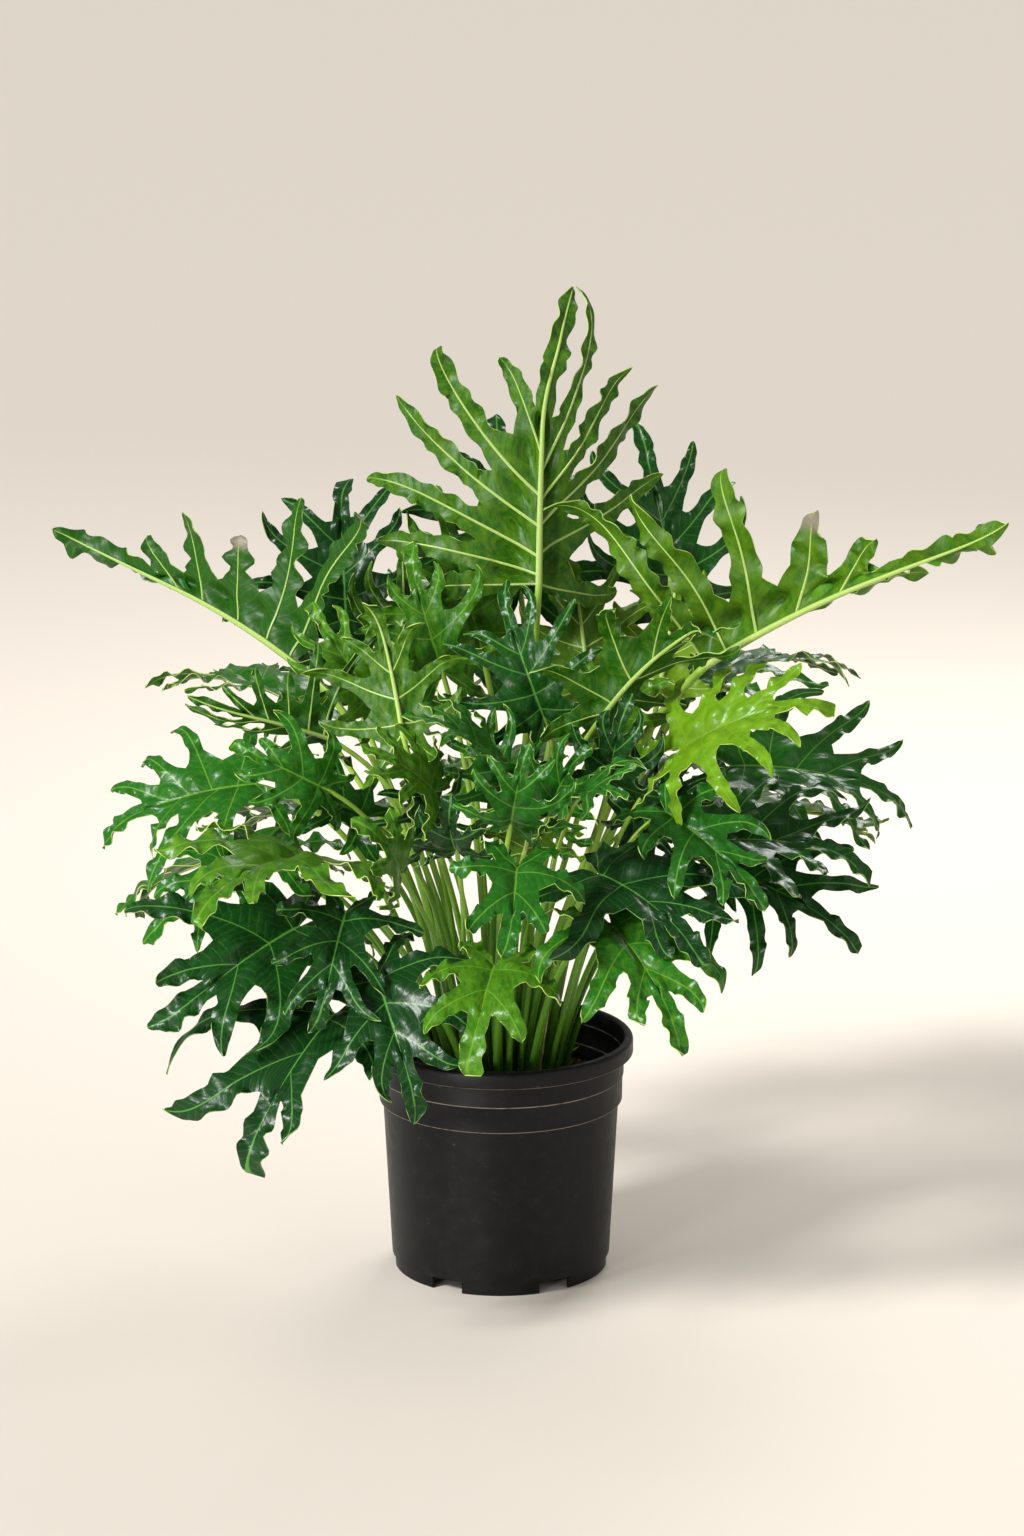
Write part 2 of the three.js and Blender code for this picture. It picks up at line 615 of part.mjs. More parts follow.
// The leaves: at is where the petiole meets the blade, tip is the blade's end, and face is the way that
// its upper side looks
const leaf = (name, kind, seed, at, tip, face, more) => {
  const row = { name, kind, seed, at, tip, face };
  return { ...USUAL, ...row, ...more };
};
const STEADY = { vary: 0, arch: -8, bend: 10, curl: 18 };
const REACHING = { ...STEADY, foldLeft: 48, foldRight: 45, spread: 0.8, bend: 24, curl: -8 };
const BROAD = { ...STEADY, foldLeft: 37, spread: 1.2 };
const FACING = { follow: 1.2 };
const DARK = { tone: "dark" };
const LIME = { tone: "lime" };
const LEAVES = [
  leaf(
    "crown", "crown", 1, [35, 0, 668], [46, 20, 952], [-0.5, 0.86, 0],
    { ...STEADY, foldLeft: 16, foldRight: 31 },
  ),
  leaf(
    "long_left", "reachLeft", 2, [-195, 60, 580], [-443, 250, 660], [0, 0.8, 0.6],
    { ...REACHING, foldLeft: 37 },
  ),
  leaf(
    "long_right", "reachRight", 3, [190, -60, 605], [452, -270, 762], [0, 0.8, 0.6],
    { ...REACHING, foldRight: 37 },
  ),
  leaf("second_left", "reachLeft", 4, [-160, -60, 535], [-290, -80, 572], [0, 0.8, 0.6], BROAD),
  leaf("inner_left", "plain", 360, [-90, -110, 550], [-125, -70, 665], [0, 1, 0.2]),
  leaf(
    "inner_right", "plain", 334, [95, -115, 570], [222, -165, 658], [0, 0.7, 0.7],
    { foldLeft: 35, foldRight: 35 },
  ),
  leaf("lime_right", "grown", 574, [165, -150, 545], [295, -200, 620], [0, -0.7, 0.7], LIME),
  leaf("mid_right", "grown", 366, [220, 10, 490], [400, 50, 440], [0, -0.4, 0.9]),
  leaf("low_right", "grown", 634, [180, -75, 435], [340, -150, 415], [0, -0.6, 0.8], DARK),
  leaf("lower_right", "grown", 461, [190, -30, 405], [335, -105, 345], [0.1, -0.6, 0.8], DARK),
  leaf(
    "light_right", "plain", 491, [150, -185, 495], [245, -275, 440], [0, -0.6, 0.8],
    { spread: 0.75 },
  ),
  leaf("gloss_right", "star", 675, [90, -180, 435], [205, -295, 392], [0, -0.6, 0.8], DARK),
  leaf("hang_right", "star", 579, [100, -240, 405], [165, -330, 310], [0.2, -0.9, 0.4]),
  leaf("open_left", "openLeft", 588, [-230, -40, 485], [-385, -20, 435], [0, -0.7, 0.7], { vary: 0.2 }),
  leaf("gloss_left", "star", 871, [-178, -165, 445], [-295, -285, 430], [-0.1, -0.7, 0.7]),
  leaf("under_left", "star", 928, [-185, -160, 380], [-305, -262, 305], [-0.3, -0.7, 0.6], DARK),
  leaf("pale_left", "plain", 227, [-210, -80, 425], [-340, -150, 395], [-0.1, -0.6, 0.8]),
  leaf(
    "drop_left", "plain", 757, [-140, -205, 405], [-162, -268, 300], [0, -1, 0.2],
    { ...DARK, ...FACING },
  ),
  leaf(
    "low_left", "lowLeft", 822, [-150, -220, 315], [-230, -330, 200], [-0.2, -0.9, 0.4],
    { ...DARK, vary: 0.2 },
  ),
  leaf(
    "by_pot", "star", 845, [-110, -240, 355], [-60, -318, 252], [0.1, -0.9, 0.4],
    { ...DARK, ...FACING },
  ),
  leaf("star_front", "young", 21, [15, -290, 470], [0, -375, 418], [0, -0.9, 0.4], FACING),
  leaf("small_front", "young", 884, [-5, -262, 372], [-38, -345, 300], [0, -0.9, 0.4], FACING),
  leaf("centre_dark", "grown", 23, [40, -60, 555], [5, -20, 675], [0, -1, 0.2], DARK),
  leaf("centre_fold", "plain", 289, [10, -205, 490], [15, -262, 578], [0, -0.8, -0.5]),
  leaf("centre_curl", "grown", 130, [85, 20, 560], [80, 60, 695], [0, 1, 0], LIME),
  leaf("curl_right", "plain", 174, [150, 30, 560], [150, 80, 680], [0, 1, 0], LIME),
  leaf("upright_left", "grown", 218, [-95, 40, 555], [-95, 90, 690], [0, 1, 0]),
  leaf("dark_left", "grown", 465, [-150, 165, 590], [-140, 225, 745], [0, -1, 0.3], DARK),
  leaf("dark_right", "grown", 264, [170, 110, 625], [140, 165, 790], [0, -1, 0.3], DARK),
  leaf("upper_gloss", "star", 469, [-165, -112, 500], [-238, -140, 552], [0, -0.8, 0.5]),
  leaf("wavy_left", "plain", 941, [-60, -170, 510], [-120, -230, 560], [0, -0.5, 0.8]),
  leaf("wavy_right", "star", 586, [100, -115, 505], [115, -160, 590], [0, -0.9, 0.2], DARK),
  leaf("behind_star", "young", 861, [-40, -150, 450], [-55, -195, 525], [0, -0.9, 0.3], DARK),
  leaf("wavy_centre", "plain", 442, [-5, -150, 535], [-85, -190, 590], [0.2, -0.5, 0.8]),
  leaf("curl_front", "plain", 738, [65, -215, 510], [110, -290, 560], [0, -0.6, 0.8]),
  leaf("fill_left", "young", 255, [-92, -188, 440], [-140, -240, 492], [0, -0.7, 0.7]),
  leaf("fill_top", "grown", 602, [-20, 60, 600], [-60, 130, 740], [0.1, -0.9, 0.3]),
  leaf("heart_1", "grown", 604, [-60, -90, 455], [-108, -138, 528], [0, -0.7, 0.6], DARK),
  leaf("heart_2", "plain", 662, [45, -100, 470], [75, -150, 555], [0, -0.8, 0.4]),
  leaf("heart_3", "grown", 762, [120, -90, 460], [195, -120, 525], [0.2, -0.7, 0.6], DARK),
  leaf("heart_4", "grown", 34, [10, -70, 480], [-32, -95, 575], [0, -0.8, 0.5]),
  leaf("heart_5", "plain", 35, [-125, -75, 462], [-210, -95, 490], [-0.2, -0.6, 0.8]),
  leaf("heart_6", "plain", 768, [22, -122, 440], [48, -190, 500], [0, -0.5, 0.8]),
  leaf("heart_7", "plain", 924, [95, -35, 530], [140, -50, 630], [0, -0.8, 0.4], LIME),
  leaf("heart_8", "grown", 884, [-120, -20, 560], [-195, -5, 640], [0, -0.8, 0.5]),
  leaf("heart_9", "plain", 879, [-55, 0, 585], [-75, 15, 705], [0, -1, 0.2], LIME),
  leaf("back_1", "grown", 449, round(35, 230, 540), round(35, 420, 560), [0, 0.2, 1]),
  leaf("back_2", "grown", 640, round(70, 190, 556), round(66, 383, 596), [0, 0.3, 1]),
  leaf("back_3", "grown", 972, round(103, 188, 566), round(105, 375, 588), [0, 0.3, 1]),
  leaf("back_4", "grown", 694, round(146, 230, 520), round(143, 410, 520), [-0.3, 0.3, 1]),
  leaf("back_5", "star", 590, round(20, 230, 420), round(20, 400, 370), [0.4, 0.2, 0.8]),
  leaf("back_6", "star", 620, round(55, 230, 430), round(55, 400, 380), [0.2, 0.5, 0.8], DARK),
  leaf("back_7", "star", 40, round(90, 212, 440), round(90, 378, 390), [0, 0.5, 0.8]),
  leaf("back_8", "star", 41, round(130, 235, 395), round(130, 395, 330), [-0.2, 0.5, 0.8], DARK),
  leaf("back_9", "star", 42, round(165, 240, 390), round(165, 390, 320), [-0.5, 0.2, 0.8]),
  leaf("back_10", "plain", 43, round(80, 110, 640), round(85, 190, 800), [0, -0.8, 0.4], DARK),
];
const SHEATH = { at: [45, -55, 294], shift: 0 };

const plant = new THREE.Group();
const feet = footPlaces([...LEAVES, SHEATH]);
const standing = LEAVES.map((row, i) => makeLeaf(row, feet[i])).concat(makeSheath(SHEATH, feet.at(-1)));
for (const made of standing) plant.add(made.mesh);
plant.add(part("nursery_pot", makePot(), BLACK_PLASTIC));
plant.add(part("soil", makeSoil(standing.map((made) => made.socket)), POTTING_MIX));

export default plant;
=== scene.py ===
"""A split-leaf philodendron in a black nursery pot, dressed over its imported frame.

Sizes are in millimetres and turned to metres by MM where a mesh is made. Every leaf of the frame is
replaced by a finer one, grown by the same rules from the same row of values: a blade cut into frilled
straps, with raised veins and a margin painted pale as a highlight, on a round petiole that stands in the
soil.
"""

import math

import bpy
import numpy as np
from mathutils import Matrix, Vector, noise


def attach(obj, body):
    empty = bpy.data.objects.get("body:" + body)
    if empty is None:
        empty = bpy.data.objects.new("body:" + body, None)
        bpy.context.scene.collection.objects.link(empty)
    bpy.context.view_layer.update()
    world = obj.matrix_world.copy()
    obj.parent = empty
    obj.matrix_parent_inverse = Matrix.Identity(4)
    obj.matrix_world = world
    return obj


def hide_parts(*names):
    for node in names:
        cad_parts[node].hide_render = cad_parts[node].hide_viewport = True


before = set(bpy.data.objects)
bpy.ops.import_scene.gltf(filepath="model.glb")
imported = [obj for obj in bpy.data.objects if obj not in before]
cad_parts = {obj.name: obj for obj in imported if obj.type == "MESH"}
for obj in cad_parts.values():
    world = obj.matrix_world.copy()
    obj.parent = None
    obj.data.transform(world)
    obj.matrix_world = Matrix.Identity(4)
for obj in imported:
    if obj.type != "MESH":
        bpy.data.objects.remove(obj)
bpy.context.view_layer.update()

MM = 0.001

# The pot, the soil and the petioles, as in the frame
RIM_RADIUS = 127
POT_HEIGHT = 229
ROLL_HEIGHT = 17
COLLAR_RADIUS = 118
STEP_RADIUS = 116.6
STEP_HEIGHT = 167
RIDGE_HEIGHT = 192
BODY_RADIUS = 113
BASE_RADIUS = 105
FOOT_RADIUS = 102.5
FOOT_HEIGHT = 12
FOOT_WIDTH = 3
FLOOR_THICKNESS = 2.5
WALL = 2
FEET = 6
NOTCH_WIDTH = 32
DRAIN_RADIUS = 8
DRAIN_RING = 82
SOIL_HEIGHT = 180
SOIL_FALL = 3
SOIL_FLAT = 85
SOIL_SLOPE = 25
PETIOLE_RADIUS = 2.6
PETIOLE_SPACING = 13.5
CROWN_RADIUS = 78
WIDEST_LEAN = 66
FOOT_PASSES = 60

# The rounded edges of the pot: its foot and step, its ridge, and the low, outer and inner turns of its roll
EDGE_ROUND = 0.8
RIDGE_ROUND = 0.6
ROLL_LOW, ROLL_OUTER, ROLL_INNER = 1.6, 4.6, 3

# A petiole: its rows and sides, how far it ends below the soil, how its foot leans out for the distance
# from the middle, and how far it rises on that way, as a share of its span
STEM_ROWS = 22
STEM_SIDES = 8
STEM_END = 23
SPLAY = 0.35
RISE = 0.5

# The camera stands where the photograph was taken from, in metres
CAMERA_PLACE = (0.0108, -4.2, 1.52)
CAMERA_DOWN = math.radians(13.77)
CAMERA_LENS = 107.3
SENSOR = 36

# The lamps: a soft sun from the upper left, a narrow lamp low at the front for the pot's highlight, a fill
# from the right, and a rim light from behind. Places are metres, and each lamp looks at the same place.
LAMPS = [
    ("key", "SUN", (-2.4, -1.7, 2.7), 3.8, {"angle": math.radians(12)}),
    ("strip", "AREA", (-1.5, -2.6, 0.3), 45, {"shape": "RECTANGLE", "size": 0.4, "size_y": 0.6}),
    ("fill", "AREA", (2.5, -2.0, 1.8), 18, {"size": 2.4}),
    ("rim", "AREA", (0.8, 2.2, 2.4), 50, {"size": 1.2}),
]
LAMP_TARGET = Vector((0, 0, 0.5))
ROOM_GLOW = 0.36
FLOOR_SIZE = 600

# How far the draws move a whole leaf, and turn and stretch its lobes. The lobe at the tip turns less.
SWAY = 0.35
FREE_SPREAD = 12
FREE_REACH = 0.3
TIP_LOOSENESS = 0.3
YOUTH_SPREAD = 0.3

# The turn of the draws for a half's first lobe, for the lobe at the tip, and from lobe to lobe
RIGHT_TURN = 40
TIP_TURN = 80
LOBE_TURN = 4

# A strap: its width at its root as a share of its whole width, the number and height of its waves, its
# most twist in degrees, the length and height of its edge's frill in millimetres, its scallops, and the
# share of it that flares into the web
STRAP_ROOT = 0.8
RUFFLES = 2.5
RUFFLE = 0.5
STRAP_TWIST = 120
FRILL_LENGTH = 23
FRILL_HEIGHT = 2.6
SCALLOP = 0.1
FLARE = 0.22

# The blade: its thickness in millimetres, the swell between its veins and its low waves as shares of its
# length, and the share of a dried strap where it turns grey
BLADE_THICKNESS = 0.9
PUFF = 0.024
LOW_WAVES = 0.012
DRY_FROM = 0.55
DRY_BLEND = 0.2

# The fineness of a blade
WEB_ROWS = 9
STRAP_ROWS = (10, 46)
HALF_COLUMNS = 3
COLUMN_STEP = 0.027
ROW_LENGTH = 3.6
SHARP_EDGE = math.radians(50)

# Patterns on the materials, in metres
SIDE_VEIN_SPACING = 0.0085
SIDE_VEIN_STRAY = 0.005
STRAY_SIZE = 0.018
MOTTLE_SIZE = 0.028
CRINKLE_SIZE = 0.006
STREAK_SIZE = 0.012
SPECK_SIZE = 0.0016
CLOUD_SIZE = 0.05
FIBRE_SIZE = 0.0012

# The side veins, lobe veins and midrib drawn on a blade: how far from the vein's middle the line is full
# and where it is gone, in metres, and its strength
SIDE_LINE = (0, 0.0006, 0.25)
LOBE_LINE = (0.0004, 0.0009, 0.75)
MIDRIB_LINE = (0.0009, 0.0016, 0.9)

# How strongly the surfaces mirror, how high the petioles are at their palest, and a dried strap's colour
LEAF_IOR = 1.32
PLASTIC_IOR = 1.29
DULL_IOR = 1.45
PALE_STALK_HEIGHT = 520
DRIED_COLOUR = "#77705f"

# The material slots of a leaf, and what its tone means
UPPER, UNDER, MARGIN, VEIN, STALK = range(5)
TONE_YOUTH = {"lime": 0.95, "mid": 0.5, "dark": 0.08}

# The fineness of the pot, the soil and the sheath
POT_SEGMENTS = 132
ROUND_STEPS = 7
SOIL_SEGMENTS = 120
SOIL_RINGS = 34
SOIL_SEED = 11
CHIPS = 700
SMALLEST_CHIP = (4, 2.5, 1.2)
LARGEST_CHIP = (14, 6.5, 3.6)
SHEATH_ROWS = 36
SHEATH_SIDES = 16
SHEATH_RADII = (1, 2.2, 3.6, 4, 4)
SPROUT_TOP = (68, 65, 190)

# Painted highlights along the ridges of the pot: their heights, and half the width of each pale line
RIDGE_HIGHLIGHT_HEIGHTS = (166.4, 191.6, 212.4)
RIDGE_HIGHLIGHT_HALF_WIDTH = 0.6

# A box of two units on each edge
BOX_CORNERS = np.array([(x, y, z) for x in (-1, 1) for y in (-1, 1) for z in (-1, 1)], float)
BOX_FACES = np.array(
    [
        (0, 1, 3), (0, 3, 2), (4, 6, 7), (4, 7, 5), (0, 4, 5), (0, 5, 1),
        (2, 3, 7), (2, 7, 6), (0, 2, 6), (0, 6, 4), (1, 5, 7), (1, 7, 3),
    ]
)


def blade_kind(tip, left, right=None):
    """A kind of blade. Its halves are alike where only one is given."""
    return {"left": left, "right": right or left, "tip": tip}


# The lobes of each kind of blade: the lobe at the tip, then those of the left and of the right half from
# the petiole to the tip. Lengths are shares of the blade's length and angles are degrees. A lobe is listed
# as the place of its vein on the midrib, its angle from the midrib there, its reach, half the width of
# its strap, the share of the vein that lies in the blade's web, and the vein's sweep towards the tip.
KINDS = {
    "grown": blade_kind((0.6, 0, 0.4, 0.046, 0.26, 8), [
        (0.0, 142, 0.42, 0.046, 0.44, -12),
        (0.06, 106, 0.56, 0.046, 0.38, 8),
        (0.17, 80, 0.62, 0.046, 0.36, 18),
        (0.31, 62, 0.6, 0.046, 0.36, 20),
        (0.46, 44, 0.48, 0.042, 0.36, 16),
    ]),
    "plain": blade_kind((0.6, 0, 0.4, 0.056, 0.28, 8), [
        (0.0, 134, 0.44, 0.055, 0.46, -12),
        (0.08, 92, 0.6, 0.058, 0.38, 16),
        (0.26, 64, 0.62, 0.058, 0.38, 20),
        (0.45, 42, 0.48, 0.052, 0.38, 16),
    ]),
    "star": blade_kind((0.58, 0, 0.42, 0.07, 0.3, 8), [
        (0.0, 140, 0.5, 0.07, 0.46, -14),
        (0.04, 94, 0.68, 0.075, 0.42, 12),
        (0.22, 60, 0.7, 0.075, 0.42, 18),
        (0.44, 38, 0.46, 0.066, 0.42, 14),
    ]),
    "young": blade_kind((0.5, 0, 0.5, 0.095, 0.3, 8), [
        (0.0, 132, 0.52, 0.095, 0.46, -8),
        (0.06, 82, 0.7, 0.095, 0.44, 10),
        (0.3, 48, 0.6, 0.085, 0.44, 14),
    ]),
    "crown": blade_kind((0.5, 0, 0.52, 0.04, 0.24, -42), [
        (0.0, 104, 0.34, 0.04, 0.46, 10),
        (0.1, 70, 0.56, 0.036, 0.34, 16),
        (0.19, 52, 0.66, 0.04, 0.3, 10),
        (0.27, 40, 0.56, 0.034, 0.34, 6),
        (0.36, 27, 0.66, 0.03, 0.3, 4),
    ], [
        (0.0, 92, 0.42, 0.045, 0.55, 0),
        (0.03, 72, 0.56, 0.042, 0.5, -14),
        (0.09, 62, 0.66, 0.04, 0.46, -6),
        (0.19, 58, 0.64, 0.038, 0.42, 8),
        (0.29, 49, 0.67, 0.04, 0.4, 16),
        (0.43, 20, 0.34, 0.036, 0.46, -8),
    ]),
    "reachLeft": blade_kind((0.56, 0, 0.44, 0.042, 0.24, -10), [
        (0.03, 80, 0.74, 0.034, 0.3, -46),
        (0.14, 78, 0.54, 0.044, 0.38, -6),
        (0.27, 70, 0.32, 0.045, 0.55, 0),
        (0.42, 56, 0.34, 0.04, 0.4, -6),
        (0.52, 30, 0.26, 0.03, 0.45, 0),
    ], [
        (0.0, 122, 0.36, 0.036, 0.45, 0),
        (0.1, 78, 0.5, 0.034, 0.36, 20),
        (0.24, 50, 0.52, 0.034, 0.34, 12),
        (0.4, 22, 0.5, 0.032, 0.34, 0),
    ]),
    "reachRight": blade_kind((0.54, 0, 0.46, 0.036, 0.24, 8), [
        (0.0, 122, 0.34, 0.036, 0.45, 0),
        (0.1, 84, 0.46, 0.036, 0.38, 18),
        (0.24, 54, 0.5, 0.036, 0.36, 14),
        (0.4, 22, 0.56, 0.03, 0.3, 4),
    ], [
        (0.0, 86, 0.74, 0.038, 0.28, -8),
        (0.07, 78, 0.58, 0.04, 0.3, -22),
        (0.17, 62, 0.56, 0.04, 0.32, -18),
        (0.3, 42, 0.34, 0.05, 0.42, -16),
        (0.44, 32, 0.24, 0.032, 0.45, 0),
    ]),
    "openLeft": blade_kind((0.62, 0, 0.4, 0.05, 0.24, -6), [
        (0.0, 116, 0.42, 0.045, 0.44, 0),
        (0.09, 76, 0.54, 0.046, 0.38, 10),
        (0.2, 50, 0.74, 0.05, 0.36, 6),
        (0.42, 50, 0.4, 0.042, 0.36, 0),
    ], [
        (0.0, 142, 0.4, 0.042, 0.42, 0),
        (0.1, 112, 0.48, 0.042, 0.4, 8),
        (0.24, 78, 0.62, 0.042, 0.34, 6),
        (0.37, 60, 0.52, 0.044, 0.36, 4),
        (0.5, 40, 0.48, 0.044, 0.36, 4),
    ]),
    "lowLeft": blade_kind((0.56, 0, 0.46, 0.075, 0.24, 6), [
        (0.0, 108, 0.4, 0.07, 0.5, -10),
        (0.05, 66, 0.52, 0.07, 0.42, 0),
        (0.42, 30, 0.42, 0.06, 0.38, 0),
    ], [
        (0.0, 100, 0.44, 0.06, 0.46, 0),
        (0.02, 66, 0.9, 0.07, 0.38, 6),
        (0.3, 38, 0.78, 0.08, 0.4, 6),
    ]),
}

# What a leaf's row leaves unsaid. The folds, arch, bend, curl, hook and veer are degrees. spread scales
# the reach of the lobes, vary says how far the draws move a leaf, and follow how far its petiole arrives
# along the blade. frill, roll and puff scale the waves of the edges, those of the whole blade and the
# swell between the veins. cut scales the web's share of each vein, and dry names dried straps.
USUAL = {
    "tone": "mid",
    "fold_left": 18,
    "fold_right": 18,
    "arch": -40,
    "bend": 40,
    "curl": -35,
    "spread": 1,
    "vary": 1,
    "follow": 0.6,
    "hook": 140,
    "veer": 170,
    "frill": 1,
    "roll": 1,
    "puff": 1,
    "cut": 0.88,
    "dry": (),
}


def leaf(name, kind, seed, at, tip, face, more=None):
    """A leaf's row: at is where the petiole meets the blade, tip is the blade's end, and face is the way
    that its upper side looks."""
    row = {"name": name, "kind": kind, "seed": seed, "at": at, "tip": tip, "face": face}
    return {**USUAL, **row, **(more or {})}


def round_pot(bearing, radius, height):
    """A place from its bearing round the pot in degrees (0 to the right, 90 to the back)."""
    turn = math.radians(bearing)
    return (radius * math.cos(turn), radius * math.sin(turn), height)


# Settings that several leaves share. The steady ones are the large leaves, drawn after the photograph.
STEADY = {
    "vary": 0,
    "arch": -8,
    "bend": 10,
    "curl": 18,
    "frill": 1.5,
    "roll": 1.6,
    "puff": 1.7,
    "cut": 0.76,
    "hook": 210,
    "veer": 60,
}
REACHING = {**STEADY, "fold_left": 48, "fold_right": 45, "spread": 0.8, "bend": 24, "curl": -8}
BROAD = {**STEADY, "fold_left": 37, "spread": 1.2}
FACING = {"follow": 1.2}
DARK = {"tone": "dark"}
LIME = {"tone": "lime"}

# The leaves, each as its name, kind and seed, where its petiole meets the blade, where the blade ends,
# the way that its upper side looks, and what is its own
LEAF_ROWS = [
    ("crown", "crown", 1, (35, 0, 668), (46, 20, 952), (-0.5, 0.86, 0),
     {**STEADY, "fold_left": 16, "fold_right": 31}),
    ("long_left", "reachLeft", 2, (-195, 60, 580), (-443, 250, 660), (0, 0.8, 0.6),
     {**REACHING, "fold_left": 37, "dry": (8,)}),
    ("long_right", "reachRight", 3, (190, -60, 605), (452, -270, 762), (0, 0.8, 0.6),
     {**REACHING, "fold_right": 37, "dry": (52,)}),
    ("second_left", "reachLeft", 4, (-160, -60, 535), (-290, -80, 572), (0, 0.8, 0.6), BROAD),
    ("inner_left", "plain", 360, (-90, -110, 550), (-125, -70, 665), (0, 1, 0.2)),
    ("inner_right", "plain", 334, (95, -115, 570), (222, -165, 658), (0, 0.7, 0.7),
     {"fold_left": 35, "fold_right": 35}),
    ("lime_right", "grown", 574, (165, -150, 545), (295, -200, 620), (0, -0.7, 0.7), LIME),
    ("mid_right", "grown", 366, (220, 10, 490), (400, 50, 440), (0, -0.4, 0.9)),
    ("low_right", "grown", 634, (180, -75, 435), (340, -150, 415), (0, -0.6, 0.8), DARK),
    ("lower_right", "grown", 461, (190, -30, 405), (335, -105, 345), (0.1, -0.6, 0.8), DARK),
    ("light_right", "plain", 491, (150, -185, 495), (245, -275, 440), (0, -0.6, 0.8), {"spread": 0.75}),
    ("gloss_right", "star", 675, (90, -180, 435), (205, -295, 392), (0, -0.6, 0.8), DARK),
    ("hang_right", "star", 579, (100, -240, 405), (165, -330, 310), (0.2, -0.9, 0.4)),
    ("open_left", "openLeft", 588, (-230, -40, 485), (-385, -20, 435), (0, -0.7, 0.7),
     {"vary": 0.2, "youth": 0.62}),
    ("gloss_left", "star", 871, (-178, -165, 445), (-295, -285, 430), (-0.1, -0.7, 0.7)),
    ("under_left", "star", 928, (-185, -160, 380), (-305, -262, 305), (-0.3, -0.7, 0.6), DARK),
    ("pale_left", "plain", 227, (-210, -80, 425), (-340, -150, 395), (-0.1, -0.6, 0.8)),
    ("drop_left", "plain", 757, (-140, -205, 405), (-162, -268, 300), (0, -1, 0.2), {**DARK, **FACING}),
    ("low_left", "lowLeft", 822, (-150, -220, 315), (-230, -330, 200), (-0.2, -0.9, 0.4),
     {**DARK, "vary": 0.2}),
    ("by_pot", "star", 845, (-110, -240, 355), (-60, -318, 252), (0.1, -0.9, 0.4), {**DARK, **FACING}),
    ("star_front", "young", 21, (15, -290, 470), (0, -375, 418), (0, -0.9, 0.4), FACING),
    ("small_front", "young", 884, (-5, -262, 372), (-38, -345, 300), (0, -0.9, 0.4), FACING),
    ("centre_dark", "grown", 23, (40, -60, 555), (5, -20, 675), (0, -1, 0.2), DARK),
    ("centre_fold", "plain", 289, (10, -205, 490), (15, -262, 578), (0, -0.8, -0.5)),
    ("centre_curl", "grown", 130, (85, 20, 560), (80, 60, 695), (0, 1, 0), {**LIME, "youth": 0.7}),
    ("curl_right", "plain", 174, (150, 30, 560), (150, 80, 680), (0, 1, 0), LIME),
    ("upright_left", "grown", 218, (-95, 40, 555), (-95, 90, 690), (0, 1, 0)),
    ("dark_left", "grown", 465, (-150, 165, 590), (-140, 225, 745), (0, -1, 0.3), DARK),
    ("dark_right", "grown", 264, (170, 110, 625), (140, 165, 790), (0, -1, 0.3), DARK),
    ("upper_gloss", "star", 469, (-165, -112, 500), (-238, -140, 552), (0, -0.8, 0.5)),
    ("wavy_left", "plain", 941, (-60, -170, 510), (-120, -230, 560), (0, -0.5, 0.8)),
    ("wavy_right", "star", 586, (100, -115, 505), (115, -160, 590), (0, -0.9, 0.2), DARK),
    ("behind_star", "young", 861, (-40, -150, 450), (-55, -195, 525), (0, -0.9, 0.3), DARK),
    ("wavy_centre", "plain", 442, (-5, -150, 535), (-85, -190, 590), (0.2, -0.5, 0.8)),
    ("curl_front", "plain", 738, (65, -215, 510), (110, -290, 560), (0, -0.6, 0.8)),
    ("fill_left", "young", 255, (-92, -188, 440), (-140, -240, 492), (0, -0.7, 0.7)),
    ("fill_top", "grown", 602, (-20, 60, 600), (-60, 130, 740), (0.1, -0.9, 0.3)),
    ("heart_1", "grown", 604, (-60, -90, 455), (-108, -138, 528), (0, -0.7, 0.6), DARK),
    ("heart_2", "plain", 662, (45, -100, 470), (75, -150, 555), (0, -0.8, 0.4)),
    ("heart_3", "grown", 762, (120, -90, 460), (195, -120, 525), (0.2, -0.7, 0.6), DARK),
    ("heart_4", "grown", 34, (10, -70, 480), (-32, -95, 575), (0, -0.8, 0.5)),
    ("heart_5", "plain", 35, (-125, -75, 462), (-210, -95, 490), (-0.2, -0.6, 0.8)),
    ("heart_6", "plain", 768, (22, -122, 440), (48, -190, 500), (0, -0.5, 0.8)),
    ("heart_7", "plain", 924, (95, -35, 530), (140, -50, 630), (0, -0.8, 0.4), {**LIME, "youth": 0.65}),
    ("heart_8", "grown", 884, (-120, -20, 560), (-195, -5, 640), (0, -0.8, 0.5)),
    ("heart_9", "plain", 879, (-55, 0, 585), (-75, 15, 705), (0, -1, 0.2), {**LIME, "youth": 0.55}),
    ("back_1", "grown", 449, round_pot(35, 230, 540), round_pot(35, 420, 560), (0, 0.2, 1)),
    ("back_2", "grown", 640, round_pot(70, 190, 556), round_pot(66, 383, 596), (0, 0.3, 1)),
    ("back_3", "grown", 972, round_pot(103, 188, 566), round_pot(105, 375, 588), (0, 0.3, 1)),
    ("back_4", "grown", 694, round_pot(146, 230, 520), round_pot(143, 410, 520), (-0.3, 0.3, 1)),
    ("back_5", "star", 590, round_pot(20, 230, 420), round_pot(20, 400, 370), (0.4, 0.2, 0.8)),
    ("back_6", "star", 620, round_pot(55, 230, 430), round_pot(55, 400, 380), (0.2, 0.5, 0.8), DARK),
    ("back_7", "star", 40, round_pot(90, 212, 440), round_pot(90, 378, 390), (0, 0.5, 0.8)),
    ("back_8", "star", 41, round_pot(130, 235, 395), round_pot(130, 395, 330), (-0.2, 0.5, 0.8), DARK),
    ("back_9", "star", 42, round_pot(165, 240, 390), round_pot(165, 390, 320), (-0.5, 0.2, 0.8)),
    ("back_10", "plain", 43, round_pot(80, 110, 640), round_pot(85, 190, 800), (0, -0.8, 0.4), DARK),
]
